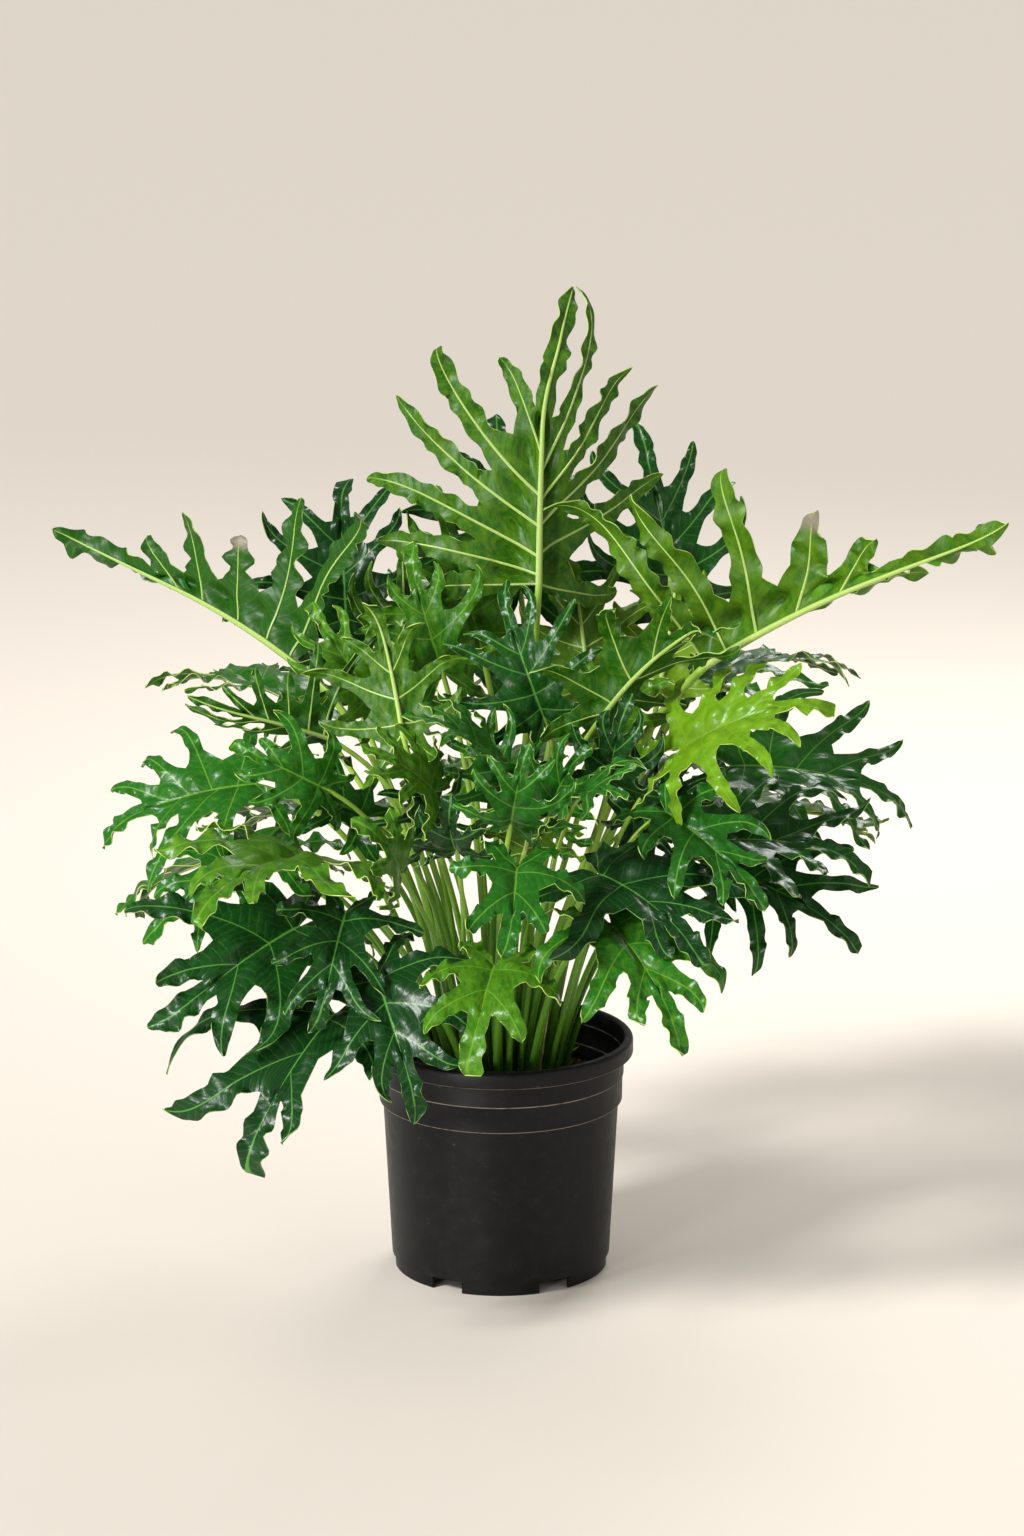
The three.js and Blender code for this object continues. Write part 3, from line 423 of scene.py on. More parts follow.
LEAVES = [leaf(*row) for row in LEAF_ROWS]

# Where the dried sheath ends
SHEATH_TOP = (45, -55, 294)


def draw(seed, turn):
    """A repeatable draw from 0 to 1."""
    value = math.sin(seed * 12.9898 + turn * 78.233) * 43758.5453
    return value - math.floor(value)


def unit(vector):
    return np.asarray(vector, float) / np.linalg.norm(vector)


def smooth(share):
    """An even step from 0 to 1, with no slope at its ends."""
    share = np.clip(share, 0, 1)
    return share * share * (3 - 2 * share)


def lobes_of(leaf):
    """The lobes of one leaf, varied by its seed. Only the lobe at the tip has no angle of its own. It keeps
    to the midrib and turns little."""
    seed = leaf["seed"]
    vary = leaf["vary"]

    def lobe_of(row, side, turn):
        root, angle, reach, width, sinus, sweep = row
        loose = TIP_LOOSENESS
        if angle:
            loose = 1
            angle += vary * FREE_SPREAD * (draw(seed, turn) - 0.5)
            reach *= leaf["spread"]
        return {
            "side": side,
            "root": root,
            "angle": math.radians(angle),
            "reach": reach * (1 + vary * FREE_REACH * (draw(seed, turn + 1) - 0.5)),
            "width": width,
            "sinus": sinus * leaf["cut"],
            "sweep": math.radians(sweep) or 0.01,
            "curl": math.radians(leaf["curl"] * (0.4 + draw(seed, turn + 2))) or 0.001,
            "phase": 2 * math.pi * draw(seed, turn + 3),
            "hook": loose * math.radians(leaf["hook"]) * (draw(seed, turn + 0.2) - 0.35),
            "veer": loose * math.radians(leaf["veer"]) * (draw(seed, turn + 0.4) - 0.5),
            "twist": loose * math.radians(STRAP_TWIST) * (draw(seed, turn + 0.6) - 0.5),
            "dry": turn in leaf["dry"],
            "seed": seed + 0.1 * turn,
        }

    kind = KINDS[leaf["kind"]]
    return {
        "left": [lobe_of(row, 1, LOBE_TURN * i) for i, row in enumerate(kind["left"])],
        "right": [lobe_of(row, -1, RIGHT_TURN + LOBE_TURN * i) for i, row in enumerate(kind["right"])],
        "tip": lobe_of(kind["tip"], 1, TIP_TURN),
    }


def vein_point(lobe, s):
    """A point of a lobe's vein at distance s, on the flat blade, and the vein's heading there."""
    heading = lobe["angle"] - lobe["sweep"] * s / lobe["reach"]
    bend = lobe["reach"] / lobe["sweep"]
    x = lobe["root"] + bend * (np.sin(lobe["angle"]) - np.sin(heading))
    y = bend * (np.cos(heading) - np.cos(lobe["angle"]))
    return x, y, heading


def curled(lobe, t):
    """How far along and how high a strap has come at share t, as it curls and hooks up at its tip."""
    fine = np.linspace(0, 1, 101)
    pitch = lobe["curl"] * fine + lobe["hook"] * fine**5
    middle = (pitch[1:] + pitch[:-1]) / 2
    along = np.concatenate([[0], np.cumsum(np.cos(middle)) / 100])
    high = np.concatenate([[0], np.cumsum(np.sin(middle)) / 100])
    return np.interp(t, fine, along), np.interp(t, fine, high)


def edge_forms(leaf, lobe, t, side, length):
    """The frill and the scallops of one edge of a strap: a height in millimetres, and a share of the
    strap's width."""
    start = lobe["reach"] * lobe["sinus"]
    run = (start + (lobe["reach"] - start) * t) * length
    own = draw(lobe["seed"], side + 5)
    wave = 2 * math.pi * run / (FRILL_LENGTH * (0.8 + 0.5 * own))
    wander = 0.8 * np.sin(wave / 2.3 + 9 * own)
    swell = smooth(t / 0.12) * (1 - 0.5 * smooth((t - 0.8) / 0.2))
    uneven = 0.65 + 0.35 * np.sin(wave / 3.1 + 17 * own)
    frill = FRILL_HEIGHT * leaf["frill"] * np.sin(wave + wander + 6 * own) * swell * uneven
    scallop = SCALLOP * leaf["frill"] * np.sin(wave + wander + 6 * own + 1.3) * swell
    return frill, scallop


def strap_grid(leaf, lobe, t, across, gaps, length):
    """The free strap of a lobe, from the sinuses at t 0 to its tip at t 1. gaps are the flat steps from
    the strap's two root corners out to the sinuses beside it."""
    t = t[:, None]
    a = across[None, :]
    start = lobe["reach"] * lobe["sinus"]
    free = lobe["reach"] - start
    along, high = curled(lobe, t)
    x, y, heading = vein_point(lobe, start + free * along)
    low_edge = edge_forms(leaf, lobe, t, 1, length)
    high_edge = edge_forms(leaf, lobe, t, 2, length)
    frill, wider = (np.where(a < 0, one, other) for one, other in zip(low_edge, high_edge))
    outline = (STRAP_ROOT + 0.3 * np.sin(math.pi * t)) * (1 - 0.3 * t) * np.sqrt(1 - t**9)
    width = lobe["width"] * outline
    w = a * width * (1 + wider * a * a)
    turn = lobe["twist"] * t**2.5
    aside = lobe["veer"] * free * t**4 / 4
    flat = w * np.cos(turn)
    x = x + flat * np.sin(heading) + aside * np.sin(heading)
    y = y - flat * np.cos(heading) - aside * np.cos(heading)
    back = np.clip(1 - t / FLARE, 0, 1) ** 2
    for sign, (gap_x, gap_y) in zip((-1, 1), gaps):
        reach = np.clip(sign * a, 0, 1) * back
        x = x + gap_x * reach
        y = y + gap_y * reach
    swell = np.minimum(1, 4 * t) * (1 - 0.6 * t)
    wave = np.sin(2 * math.pi * RUFFLES * t + lobe["phase"] + a) * swell
    z = free * high + RUFFLE * lobe["width"] * wave * np.abs(a)
    z = z + frill / length * np.abs(a) ** 1.7 + w * np.sin(turn)
    run = (start + free * t) * length + 0 * a
    out = (w + np.where(a < 0, np.hypot(*gaps[0]), np.hypot(*gaps[1])) * a * back) * length
    return np.stack([x, lobe["side"] * y, z], -1), np.stack([run, out], -1)


def web_grid(leaf, lobe, r, across, joints, sinuses, length):
    """The part of the blade between the midrib and the line of the sinuses that carries one lobe."""
    r = r[:, None]
    a = across[None, :]
    x, y, _ = vein_point(lobe, lobe["reach"] * lobe["sinus"] * r)
    z = PUFF * leaf["puff"] * np.sin(math.pi * r) ** 2 * (1 - np.cos(math.pi * a)) / 2
    out = 0 * a
    for sign, joint, (sinus_x, sinus_y) in zip((-1, 1), joints, sinuses):
        reach = np.clip(sign * a, 0, 1)
        step_x = joint + (sinus_x - joint) * r - x
        step_y = sinus_y * r - y
        x = x + reach * step_x * (np.abs(a) > 0)
        y = y + reach * step_y * (np.abs(a) > 0)
        out = out + sign * reach * np.hypot(step_x, step_y)
    run = lobe["reach"] * lobe["sinus"] * r + 0 * a
    points = np.stack([x, lobe["side"] * y, z + 0 * x], -1)
    return points, np.stack([run * length, out * length], -1)


def columns_of(low, root, high, stations):
    """Shares across a lobe, from -1 at its lower side to 1 at its upper side, whose starts on the midrib
    are shared with the blade's other half."""

    def share(one, other, sign):
        inner = [s for s in stations if min(one, other) + 1e-6 < s < max(one, other) - 1e-6]
        shares = [(s - root) / (other - root) for s in inner]
        return [sign * s for s in (shares or [1 / 3, 2 / 3])]

    return np.array([-1, *sorted(share(root, low, -1)), 0, *sorted(share(root, high, 1)), 1], float)


def grids_of(leaf, length):
    """The flat blade of a leaf, in shares of its length, as two grids of points for each lobe: its part
    of the web and its strap."""
    lobes = lobes_of(leaf)
    tip = lobes["tip"]
    halves = {}
    breaks = {0.0, tip["root"]}
    for side in ("left", "right"):
        half = lobes[side]
        roots = [lobe["root"] for lobe in half]
        joints = [0.0, *((a + b) / 2 for a, b in zip(roots, roots[1:])), tip["root"]]
        halves[side] = joints
        breaks.update(roots)
        breaks.update(joints)
    breaks = sorted(breaks)
    stations = []
    for one, other in zip(breaks, breaks[1:]):
        count = max(1, round((other - one) / COLUMN_STEP))
        stations.extend(np.linspace(one, other, count + 1))

    def reach_point(lobe):
        x, y, _ = vein_point(lobe, lobe["reach"] * lobe["sinus"])
        return np.array([x, abs(y)])

    grids = []
    tip_sinuses = []
    for side in ("left", "right"):
        half = lobes[side]
        x, y, heading = vein_point(half[0], half[0]["reach"] * half[0]["sinus"])
        width = -STRAP_ROOT * half[0]["width"]
        sinuses = [np.array([x + width * math.sin(heading), y - width * math.cos(heading)])]
        for one, other in zip(half, [*half[1:], tip]):
            sinuses.append((reach_point(one) + reach_point(other)) / 2)
        for i, lobe in enumerate(half):
            joints = (halves[side][i], halves[side][i + 1])
            across = columns_of(joints[0], lobe["root"], joints[1], stations)
            grids.append((lobe, across, joints, (sinuses[i], sinuses[i + 1])))
        tip_sinuses.append(sinuses[-1] * (1, 1 if side == "left" else -1))
    across = np.linspace(-1, 1, 2 * HALF_COLUMNS + 1)
    grids.append((tip, across, (tip["root"], tip["root"]), tip_sinuses))

    built = []
    rows = np.linspace(0, 1, WEB_ROWS + 1)
    for lobe, across, joints, sinuses in grids:
        start = lobe["reach"] * lobe["sinus"]
        x, y, heading = vein_point(lobe, start)
        edge = STRAP_ROOT * lobe["width"]
        gaps = []
        for sign, sinus in zip((-1, 1), sinuses):
            ahead = sinus[0] - x - sign * edge * math.sin(heading)
            gaps.append((ahead, sinus[1] - y + sign * edge * math.cos(heading)))
        count = int(np.clip((lobe["reach"] - start) * length / ROW_LENGTH, *STRAP_ROWS))
        t = 1 - (1 - np.linspace(0, 1, count + 1)) ** 1.25
        web = web_grid(leaf, lobe, rows, across, joints, sinuses, length)
        strap = strap_grid(leaf, lobe, t, across, gaps, length)
        built.append((lobe, across, web, strap))
    return built


def rolling(leaf, points):
    """Adds the blade's low waves to flat points. The midrib stays where it is."""
    x, y = points[..., 0], points[..., 1]
    seed = leaf["seed"] * 0.7
    wave = np.sin(7.3 * x + seed) * np.cos(8.1 * y - seed) + 0.6 * np.sin(15 * x - 13 * np.abs(y) + seed)
    high = LOW_WAVES * leaf["roll"] * wave * smooth(np.abs(y) / 0.08)
    return np.stack([x, y, points[..., 2] + high], -1)


def frame_of(leaf):
    """Where a blade starts, the ways that it runs and faces, and its length along the bent midrib."""
    seed = leaf["seed"]
    origin = np.array(leaf["at"], float)
    ahead = np.array(leaf["tip"], float) - origin
    chord = np.linalg.norm(ahead)
    draws = np.array([draw(seed, turn) for turn in (91, 92, 93)])
    ahead = unit(ahead + chord * leaf["vary"] * SWAY * (draws - 0.5))
    draws = np.array([draw(seed, turn) for turn in (94, 95, 96)])
    face = unit(leaf["face"]) + SWAY * (draws - 0.5)
    face = unit(face - face.dot(ahead) * ahead)
    aside = np.cross(face, ahead)
    half = (math.radians(leaf["bend"]) or 1e-4) / 2
    length = chord * half / math.sin(half)
    place = {"origin": origin, "ahead": ahead, "face": face, "aside": aside}
    return {**place, "length": length, "chord": chord}


def placed(leaf, place, points):
    """Flat points folded along the midrib, arched, bent and set in their place, in millimetres."""
    x, y, z = points[..., 0], points[..., 1], points[..., 2]
    side = np.where(y < 0, -1.0, 1.0)
    fold = np.radians(np.where(y < 0, leaf["fold_right"], leaf["fold_left"]))
    arch = math.radians(leaf["arch"]) or 1e-4
    slope = fold + arch * np.abs(y)
    outward = (np.sin(slope) - np.sin(fold)) / arch - z * np.sin(slope)
    up = (np.cos(fold) - np.cos(slope)) / arch + z * np.cos(slope)
    bend = math.radians(leaf["bend"]) or 1e-4
    pitch = bend * (0.5 - x)
    along = (math.sin(bend / 2) - np.sin(pitch)) / bend - up * np.sin(pitch)
    above = (np.cos(pitch) - math.cos(bend / 2)) / bend + up * np.cos(pitch)
    steps = [(place["ahead"], along), (place["aside"], side * outward), (place["face"], above)]
    return place["origin"] + place["length"] * sum(step[..., None] * way for way, step in steps)


def foot_places(tops):
    """Where the stems that end at the tops leave the soil, crowded round the middle but clear of each
    other."""
    feet = []
    for x, y, z in tops:
        lean = math.atan2(math.hypot(x, y), z - SOIL_HEIGHT)
        ring = CROWN_RADIUS * min(1, lean / math.radians(WIDEST_LEAN)) ** 0.9
        turn = math.atan2(y, x)
        feet.append(np.array([ring * math.cos(turn), ring * math.sin(turn), SOIL_HEIGHT]))
    for _ in range(FOOT_PASSES):
        for i, one in enumerate(feet):
            for other in feet[i + 1 :]:
                away = other - one
                distance = np.linalg.norm(away)
                short = PETIOLE_SPACING - distance
                if short > 0:
                    away *= short / 2 / distance
                    one -= away
                    other += away
        for foot in feet:
            foot *= min(1, math.hypot(CROWN_RADIUS, SOIL_HEIGHT) / np.linalg.norm(foot))
            foot[2] = SOIL_HEIGHT
    return feet


def petiole_line(leaf, place, foot):
    """The petiole's middle line from the blade down into the soil."""
    origin = place["origin"]
    span = np.linalg.norm(origin - foot)
    up = unit([foot[0] * SPLAY / CROWN_RADIUS, foot[1] * SPLAY / CROWN_RADIUS, 1])
    arrive = unit(origin - foot)
    arrive = arrive - arrive.dot(place["aside"]) * place["aside"] + place["ahead"] * leaf["follow"]
    arrive = unit(arrive)
    near = origin - arrive * span * 0.3
    far = foot + up * span * RISE
    t = np.linspace(0, 1, STEM_ROWS + 1)[:, None]
    bow = (1 - t) ** 3 * origin + 3 * (1 - t) ** 2 * t * near + 3 * (1 - t) * t**2 * far + t**3 * foot
    return np.vstack([bow, foot - up * STEM_END])


def normals_of(points, faces):
    """The normal of the surface at each point."""
    a, b, c = (points[faces[:, i]] for i in range(3))
    cross = np.cross(b - a, c - a)
    normals = np.zeros_like(points)
    for i in range(3):
        np.add.at(normals, faces[:, i], cross)
    return normals / np.maximum(np.linalg.norm(normals, axis=1), 1e-12)[:, None]


def tube(line, radii, face, flat=1.0, sink=0.0, sides=6):
    """A closed tube along a line, as points and triangles. face is the way that its flat side looks at
    its start, flat its height as a share of its width, and sink how far it lies off the line."""
    line = np.asarray(line, float)
    ways = np.gradient(line, axis=0)
    ways /= np.linalg.norm(ways, axis=1)[:, None]
    turns = np.arange(sides) * 2 * math.pi / sides
    points = []
    for centre, way, radius in zip(line, ways, radii):
        face = unit(face - np.dot(face, way) * way)
        side = np.cross(face, way)
        ring = np.cos(turns)[:, None] * side + flat * np.sin(turns)[:, None] * face
        points.append(centre + radius * (ring - sink * face))
    ends = [line[:1] - radii[0] * sink * face, line[-1:] - radii[-1] * sink * face]
    points = np.vstack([*points, *ends])
    faces = []
    count = len(line)
    for row in range(count - 1):
        for k in range(sides):
            a, b = row * sides + k, row * sides + (k + 1) % sides
            faces += [(a, b, b + sides), (a, b + sides, a + sides)]
    last = (count - 1) * sides
    for k in range(sides):
        near, far = k, (k + 1) % sides
        faces += [(count * sides, far, near), (count * sides + 1, last + near, last + far)]
    return points, np.array(faces)


def sheet_of(leaf, place):
    """A leaf's blade as a thin closed shell: its points, its triangles, the material of each, each
    corner's place along and across its vein, the lines of its veins, and how dry each point is."""
    cells, corners, spots, dry, veins = [], [], [], [], []
    start = 0
    length = place["length"]
    for lobe, across, web, strap in grids_of(leaf, length):
        middle = int(np.argmin(np.abs(across)))
        for points, marks in (web, strap):
            rows, columns = points.shape[:2]
            index = np.arange(start, start + rows * columns).reshape(rows, columns)
            a, b, c, d = index[:-1, :-1], index[:-1, 1:], index[1:, 1:], index[1:, :-1]
            if lobe["side"] < 0:
                b, d = d, b
            cells.append(np.stack([a, b, c], -1).reshape(-1, 3))
            cells.append(np.stack([a, c, d], -1).reshape(-1, 3))
            spots.append(points.reshape(-1, 3))
            share = np.linspace(0, 1, rows)[:, None] * np.ones(columns)
            withered = points is strap[0] and lobe["dry"]
            dry.append((smooth((share - DRY_FROM) / DRY_BLEND) * withered).ravel())
            corners.append(marks.reshape(-1, 2))
            start += rows * columns
        veins.append((lobe, np.vstack([web[0][:, middle], strap[0][1:, middle]])))
    spots = rolling(leaf, np.vstack(spots))
    corners = np.vstack(corners)
    cells = np.vstack(cells)
    grid = np.round(spots * 1e6 + 0.31)
    _, first, weld = np.unique(grid, axis=0, return_index=True, return_inverse=True)
    faces = weld.reshape(-1)[cells]
    whole = np.all(faces != np.roll(faces, 1, axis=1), axis=1)
    faces, cells = faces[whole], cells[whole]
    marks = corners[cells]
    points = placed(leaf, place, spots[first])
    count = len(points)
    lift = BLADE_THICKNESS / 2 * normals_of(points, faces)
    shell = np.vstack([points + lift, points - lift])
    edges = {}
    for a, b, c in faces.tolist():
        for edge in ((a, b), (b, c), (c, a)):
            if edge[::-1] in edges:
                del edges[edge[::-1]]
            else:
                edges[edge] = True
    walls = []
    for one, other in edges:
        walls += [(other, one, one + count), (other, one + count, other + count)]
    walls = np.array(walls)
    triangles = np.vstack([faces, faces[:, ::-1] + count, walls])
    materials = np.repeat([UPPER, UNDER, MARGIN], [len(faces), len(faces), len(walls)])
    marks = np.vstack([marks, marks[:, ::-1], np.zeros((len(walls), 3, 2))])
    lines = [(lobe, placed(leaf, place, rolling(leaf, line))) for lobe, line in veins]
    dry = np.concatenate(dry)[first]
    return shell, triangles, materials, marks, lines, np.concatenate([dry, dry])


def new_object(name, data):
    """An object in the scene."""
    thing = bpy.data.objects.new(name, data)
    bpy.context.scene.collection.objects.link(thing)
    return thing


def mesh_piece(name, parts, materials, attributes=()):
    """One object from parts, each a set of points in millimetres, its triangles, the material slot of
    its triangles, and the corners' marks or None."""
    points = np.vstack([part[0] for part in parts]) * MM
    starts = np.cumsum([0, *(len(part[0]) for part in parts)])
    faces = np.vstack([part[1] + start for part, start in zip(parts, starts)])
    slots = np.concatenate([np.broadcast_to(part[2], len(part[1])) for part in parts])
    blank = [np.zeros((len(part[1]), 3, 2)) if part[3] is None else part[3] for part in parts]
    mesh = bpy.data.meshes.new(name)
    mesh.vertices.add(len(points))
    mesh.vertices.foreach_set("co", points.astype(np.float32).ravel())
    mesh.loops.add(3 * len(faces))
    mesh.loops.foreach_set("vertex_index", faces.astype(np.int32).ravel())
    mesh.polygons.add(len(faces))
    mesh.polygons.foreach_set("loop_start", np.arange(0, 3 * len(faces), 3, dtype=np.int32))
    mesh.polygons.foreach_set("material_index", slots.astype(np.int32))
    mesh.update(calc_edges=True)
    mesh.validate()
    layer = mesh.uv_layers.new(name="veins")
    layer.data.foreach_set("uv", (np.vstack(blank) * MM).astype(np.float32).ravel())
    for label, values in attributes:
        layer = mesh.attributes.new(label, "FLOAT", "POINT")
        spread = np.broadcast_to(np.asarray(values, np.float32), len(points))
        layer.data.foreach_set("value", np.ascontiguousarray(spread))
    mesh.shade_smooth()
    mesh.set_sharp_from_angle(angle=SHARP_EDGE)
    for material in materials:
        mesh.materials.append(material)
    return new_object(name, mesh)


def grow_leaf(leaf, foot):
    """One leaf: its blade, the veins under it, and its midrib that goes on as the petiole."""
    place = frame_of(leaf)
    chord = place["chord"]
    *sheet, lines, dry = sheet_of(leaf, place)
    parts = [tuple(sheet)]
    heel = 1.5 + chord / 135
    foot_radius = PETIOLE_RADIUS + chord / 120
    for lobe, line in lines[:-1]:
        thick = (0.35 + chord / 330) * (0.75 + 0.6 * lobe["reach"])
        share = np.linspace(0, 1, len(line))
        radii = thick * (1 - share) ** 0.75 + 0.12
        parts.append((*tube(line[:-1], radii[:-1], -place["face"], 0.8, -0.35, 5), VEIN, None))
    tip, end = lines[-1]
    tip_root = tip["root"]
    share = np.linspace(1, 0, max(8, int(tip_root * 22)))[:-1]
    ribs = np.stack([tip_root * share, 0 * share, 0 * share], -1)
    stem = petiole_line(leaf, place, foot)
    line = np.vstack([end[-2::-1], placed(leaf, place, ribs)[1:], stem])
    reach = np.linalg.norm(np.diff(line, axis=0), axis=1)
    reach = np.concatenate([[0], np.cumsum(reach)])
    heel_row = len(end) + len(ribs) - 2
    blade = reach[heel_row]
    rising = 0.3 + (heel - 0.3) * (reach / blade) ** 0.7
    standing = heel + (foot_radius - heel) * np.clip((reach - blade) / (reach[-1] - blade), 0, 1)
    radii = np.where(reach < blade, rising, standing)
    points, faces = tube(line, radii, place["face"], 0.8, 0.62, STEM_SIDES)
    skin = np.where(faces.min(axis=1) < heel_row * STEM_SIDES, VEIN, STALK)
    parts.append((points, faces, skin, None))
    youth = leaf.get("youth", TONE_YOUTH[leaf["tone"]])
    youth += YOUTH_SPREAD * (draw(leaf["seed"], 70) - 0.5)
    dry = np.concatenate([dry, np.zeros(sum(len(part[0]) for part in parts[1:]))])
    values = [("youth", youth), ("dry", dry)]
    piece = mesh_piece("green_" + leaf["name"], parts, LEAF_SKINS, values)
    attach(piece, "root")
    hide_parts("leaf_" + leaf["name"])


def linear(code):
    """A colour written as sRGB hex, as the linear values that a shader takes."""
    parts = [int(code[i : i + 2], 16) / 255 for i in (1, 3, 5)]
    return (*(p / 12.92 if p <= 0.04045 else ((p + 0.055) / 1.055) ** 2.4 for p in parts), 1)


def add(tree, kind, inputs=None, stops=(), **settings):
    """A new shader node. inputs holds, by the input's name or number, a value, an output to link, or a
    node whose first output is linked. stops are a colour ramp's places and sRGB hex colours."""
    node = tree.nodes.new("ShaderNode" + kind)
    for label, value in settings.items():
        setattr(node, label, value)
    for label, value in (inputs or {}).items():
        if isinstance(value, bpy.types.Node):
            value = value.outputs[0]
        if isinstance(value, bpy.types.NodeSocket):
            tree.links.new(value, node.inputs[label])
        else:
            node.inputs[label].default_value = value
    for _ in range(len(stops) - 2):
        node.color_ramp.elements.new(0.5)
    for i, (place, code) in enumerate(stops):
        node.color_ramp.elements[i].position = place
        node.color_ramp.elements[i].color = linear(code)
    return node


def make_material(name, look, *values):
    """A material of one surface shader. Its look adds the other nodes and says what the shader is given."""
    material = bpy.data.materials.new(name)
    material.use_nodes = True
    tree = material.node_tree
    tree.nodes.clear()
    shader = add(tree, "BsdfPrincipled", look(tree, *values))
    add(tree, "OutputMaterial", {"Surface": shader})
    return material


def blade_look(tree, deep, plain, young, line, roughness, quilt):
    """One face of the blade: deep in old leaves and bright in young ones, with fine pale side veins that
    run out from each vein. quilt is how far the skin between them swells, in metres."""
    youth = add(tree, "Attribute", attribute_name="youth").outputs["Fac"]
    mottle = add(tree, "TexNoise", {"Scale": 1 / MOTTLE_SIZE, "Detail": 3, "Roughness": 0.6})
    shift = add(tree, "Math", {0: mottle, 1: 0.55, 2: youth}, operation="MULTIPLY_ADD")
    share = add(tree, "Math", {0: shift, 1: 0.27}, operation="SUBTRACT")
    skin = add(tree, "ValToRGB", {"Fac": share}, [(0, deep), (0.5, plain), (1, young)])
    pale = add(tree, "ValToRGB", {"Fac": youth}, [(0, line), (1, young)])

    marks = add(tree, "UVMap", uv_map="veins")
    split = add(tree, "SeparateXYZ", {"Vector": marks})
    along = split.outputs["X"]
    out = add(tree, "Math", {0: split.outputs["Y"]}, operation="ABSOLUTE")
    slant = add(tree, "Math", {0: out, 1: -0.85, 2: along}, operation="MULTIPLY_ADD")
    stray = add(tree, "TexNoise", {"Scale": 1 / STRAY_SIZE, "Detail": 2})
    bent = add(tree, "Math", {0: stray, 1: SIDE_VEIN_STRAY, 2: slant}, operation="MULTIPLY_ADD")
    ladder = add(tree, "Math", {0: bent, 1: SIDE_VEIN_SPACING / 2}, operation="PINGPONG")
    drawn = 0
    for place, (full, gone, strength) in ((ladder, SIDE_LINE), (out, LOBE_LINE), (along, MIDRIB_LINE)):
        fade = {"Value": place, "From Min": full, "From Max": gone, "To Min": strength, "To Max": 0}
        vein = add(tree, "MapRange", fade)
        drawn = add(tree, "Math", {0: drawn, 1: vein}, operation="MAXIMUM")
    veined = add(tree, "Mix", {0: drawn, 6: skin, 7: pale}, data_type="RGBA").outputs[2]

    dry = add(tree, "Attribute", attribute_name="dry").outputs["Fac"]
    colour = add(tree, "Mix", {0: dry, 6: veined, 7: linear(DRIED_COLOUR)}, data_type="RGBA").outputs[2]
    swell = add(tree, "MapRange", {"Value": ladder, "From Min": 0, "From Max": SIDE_VEIN_SPACING / 2})
    crinkle = add(tree, "TexNoise", {"Scale": 1 / CRINKLE_SIZE, "Detail": 3})
    height = add(tree, "Math", {0: crinkle, 1: 0.12, 2: swell}, operation="MULTIPLY_ADD")
    bump = add(tree, "Bump", {"Height": height, "Strength": 0.4, "Distance": quilt})
    return {"Base Color": colour, "Roughness": roughness, "IOR": LEAF_IOR, "Normal": bump}


def pale_look(tree, old, young, roughness):
    """The raised veins, and the rim of a blade as a painted highlight: pale, and yellower in young leaves.
    """
    youth = add(tree, "Attribute", attribute_name="youth").outputs["Fac"]
    colour = add(tree, "ValToRGB", {"Fac": youth}, [(0, old), (1, young)])
    return {"Base Color": colour, "Roughness": roughness, "IOR": LEAF_IOR}


def stalk_look(tree):
    """Petiole skin: dark green near the soil and yellow-green up at the blade."""
    place = add(tree, "NewGeometry")
    height = add(tree, "SeparateXYZ", {"Vector": place}).outputs["Z"]
    rise = {"Value": height, "From Min": SOIL_HEIGHT * MM, "From Max": PALE_STALK_HEIGHT * MM}
    high = add(tree, "MapRange", rise)
    streak = add(tree, "TexNoise", {"Scale": 1 / STREAK_SIZE, "Detail": 3})
    share = add(tree, "Math", {0: streak, 1: 0.3, 2: high}, operation="MULTIPLY_ADD")
    colour = add(tree, "ValToRGB", {"Fac": share}, [(0.1, "#24490f"), (0.55, "#588a22"), (1, "#8fb444")])
    return {"Base Color": colour, "Roughness": 0.36, "IOR": LEAF_IOR}


def plastic_look(tree):
    """Satin black, with specks of dust, a thin film in patches, and a painted highlight line along each
    ridge.
    """
    speck = add(tree, "TexNoise", {"Scale": 1 / SPECK_SIZE, "Detail": 2})
    dust_and_highlight = add(tree, "MapRange", {"Value": speck, "From Min": 0.66, "From Max": 0.74})
    cloud = add(tree, "TexNoise", {"Scale": 1 / CLOUD_SIZE, "Detail": 4})
    film = add(tree, "MapRange", {"Value": cloud, "From Min": 0.35, "From Max": 0.75})
    place = add(tree, "NewGeometry")
    height = add(tree, "SeparateXYZ", {"Vector": place}).outputs["Z"]
    # Painted highlight: a pale line at the height of each ridge, patchy where the film lies
    for lit_ridge_height in RIDGE_HIGHLIGHT_HEIGHTS:
        near = {0: height, 1: lit_ridge_height * MM, 2: RIDGE_HIGHLIGHT_HALF_WIDTH * MM}
        edge = add(tree, "Math", near, operation="COMPARE")
        patchy_highlight = add(tree, "Math", {0: edge, 1: cloud, 2: edge}, operation="MULTIPLY_ADD")
        dust_and_highlight = add(tree, "Math", {0: dust_and_highlight, 1: patchy_highlight}, operation="ADD")
    share = add(tree, "Math", {0: dust_and_highlight, 1: 0.8, 2: film}, operation="MULTIPLY_ADD")
    share = add(tree, "Math", {0: share, 1: 0.5}, operation="MULTIPLY")
    # The palest stop colours the dust specks and the painted highlight lines
    colour = add(tree, "ValToRGB", {"Fac": share}, [(0, "#050607"), (0.45, "#0b0c0e"), (0.7, "#83776a")])
    rough = add(tree, "MapRange", {"Value": film, "To Min": 0.4, "To Max": 0.5})
    return {"Base Color": colour, "Roughness": rough, "IOR": PLASTIC_IOR}


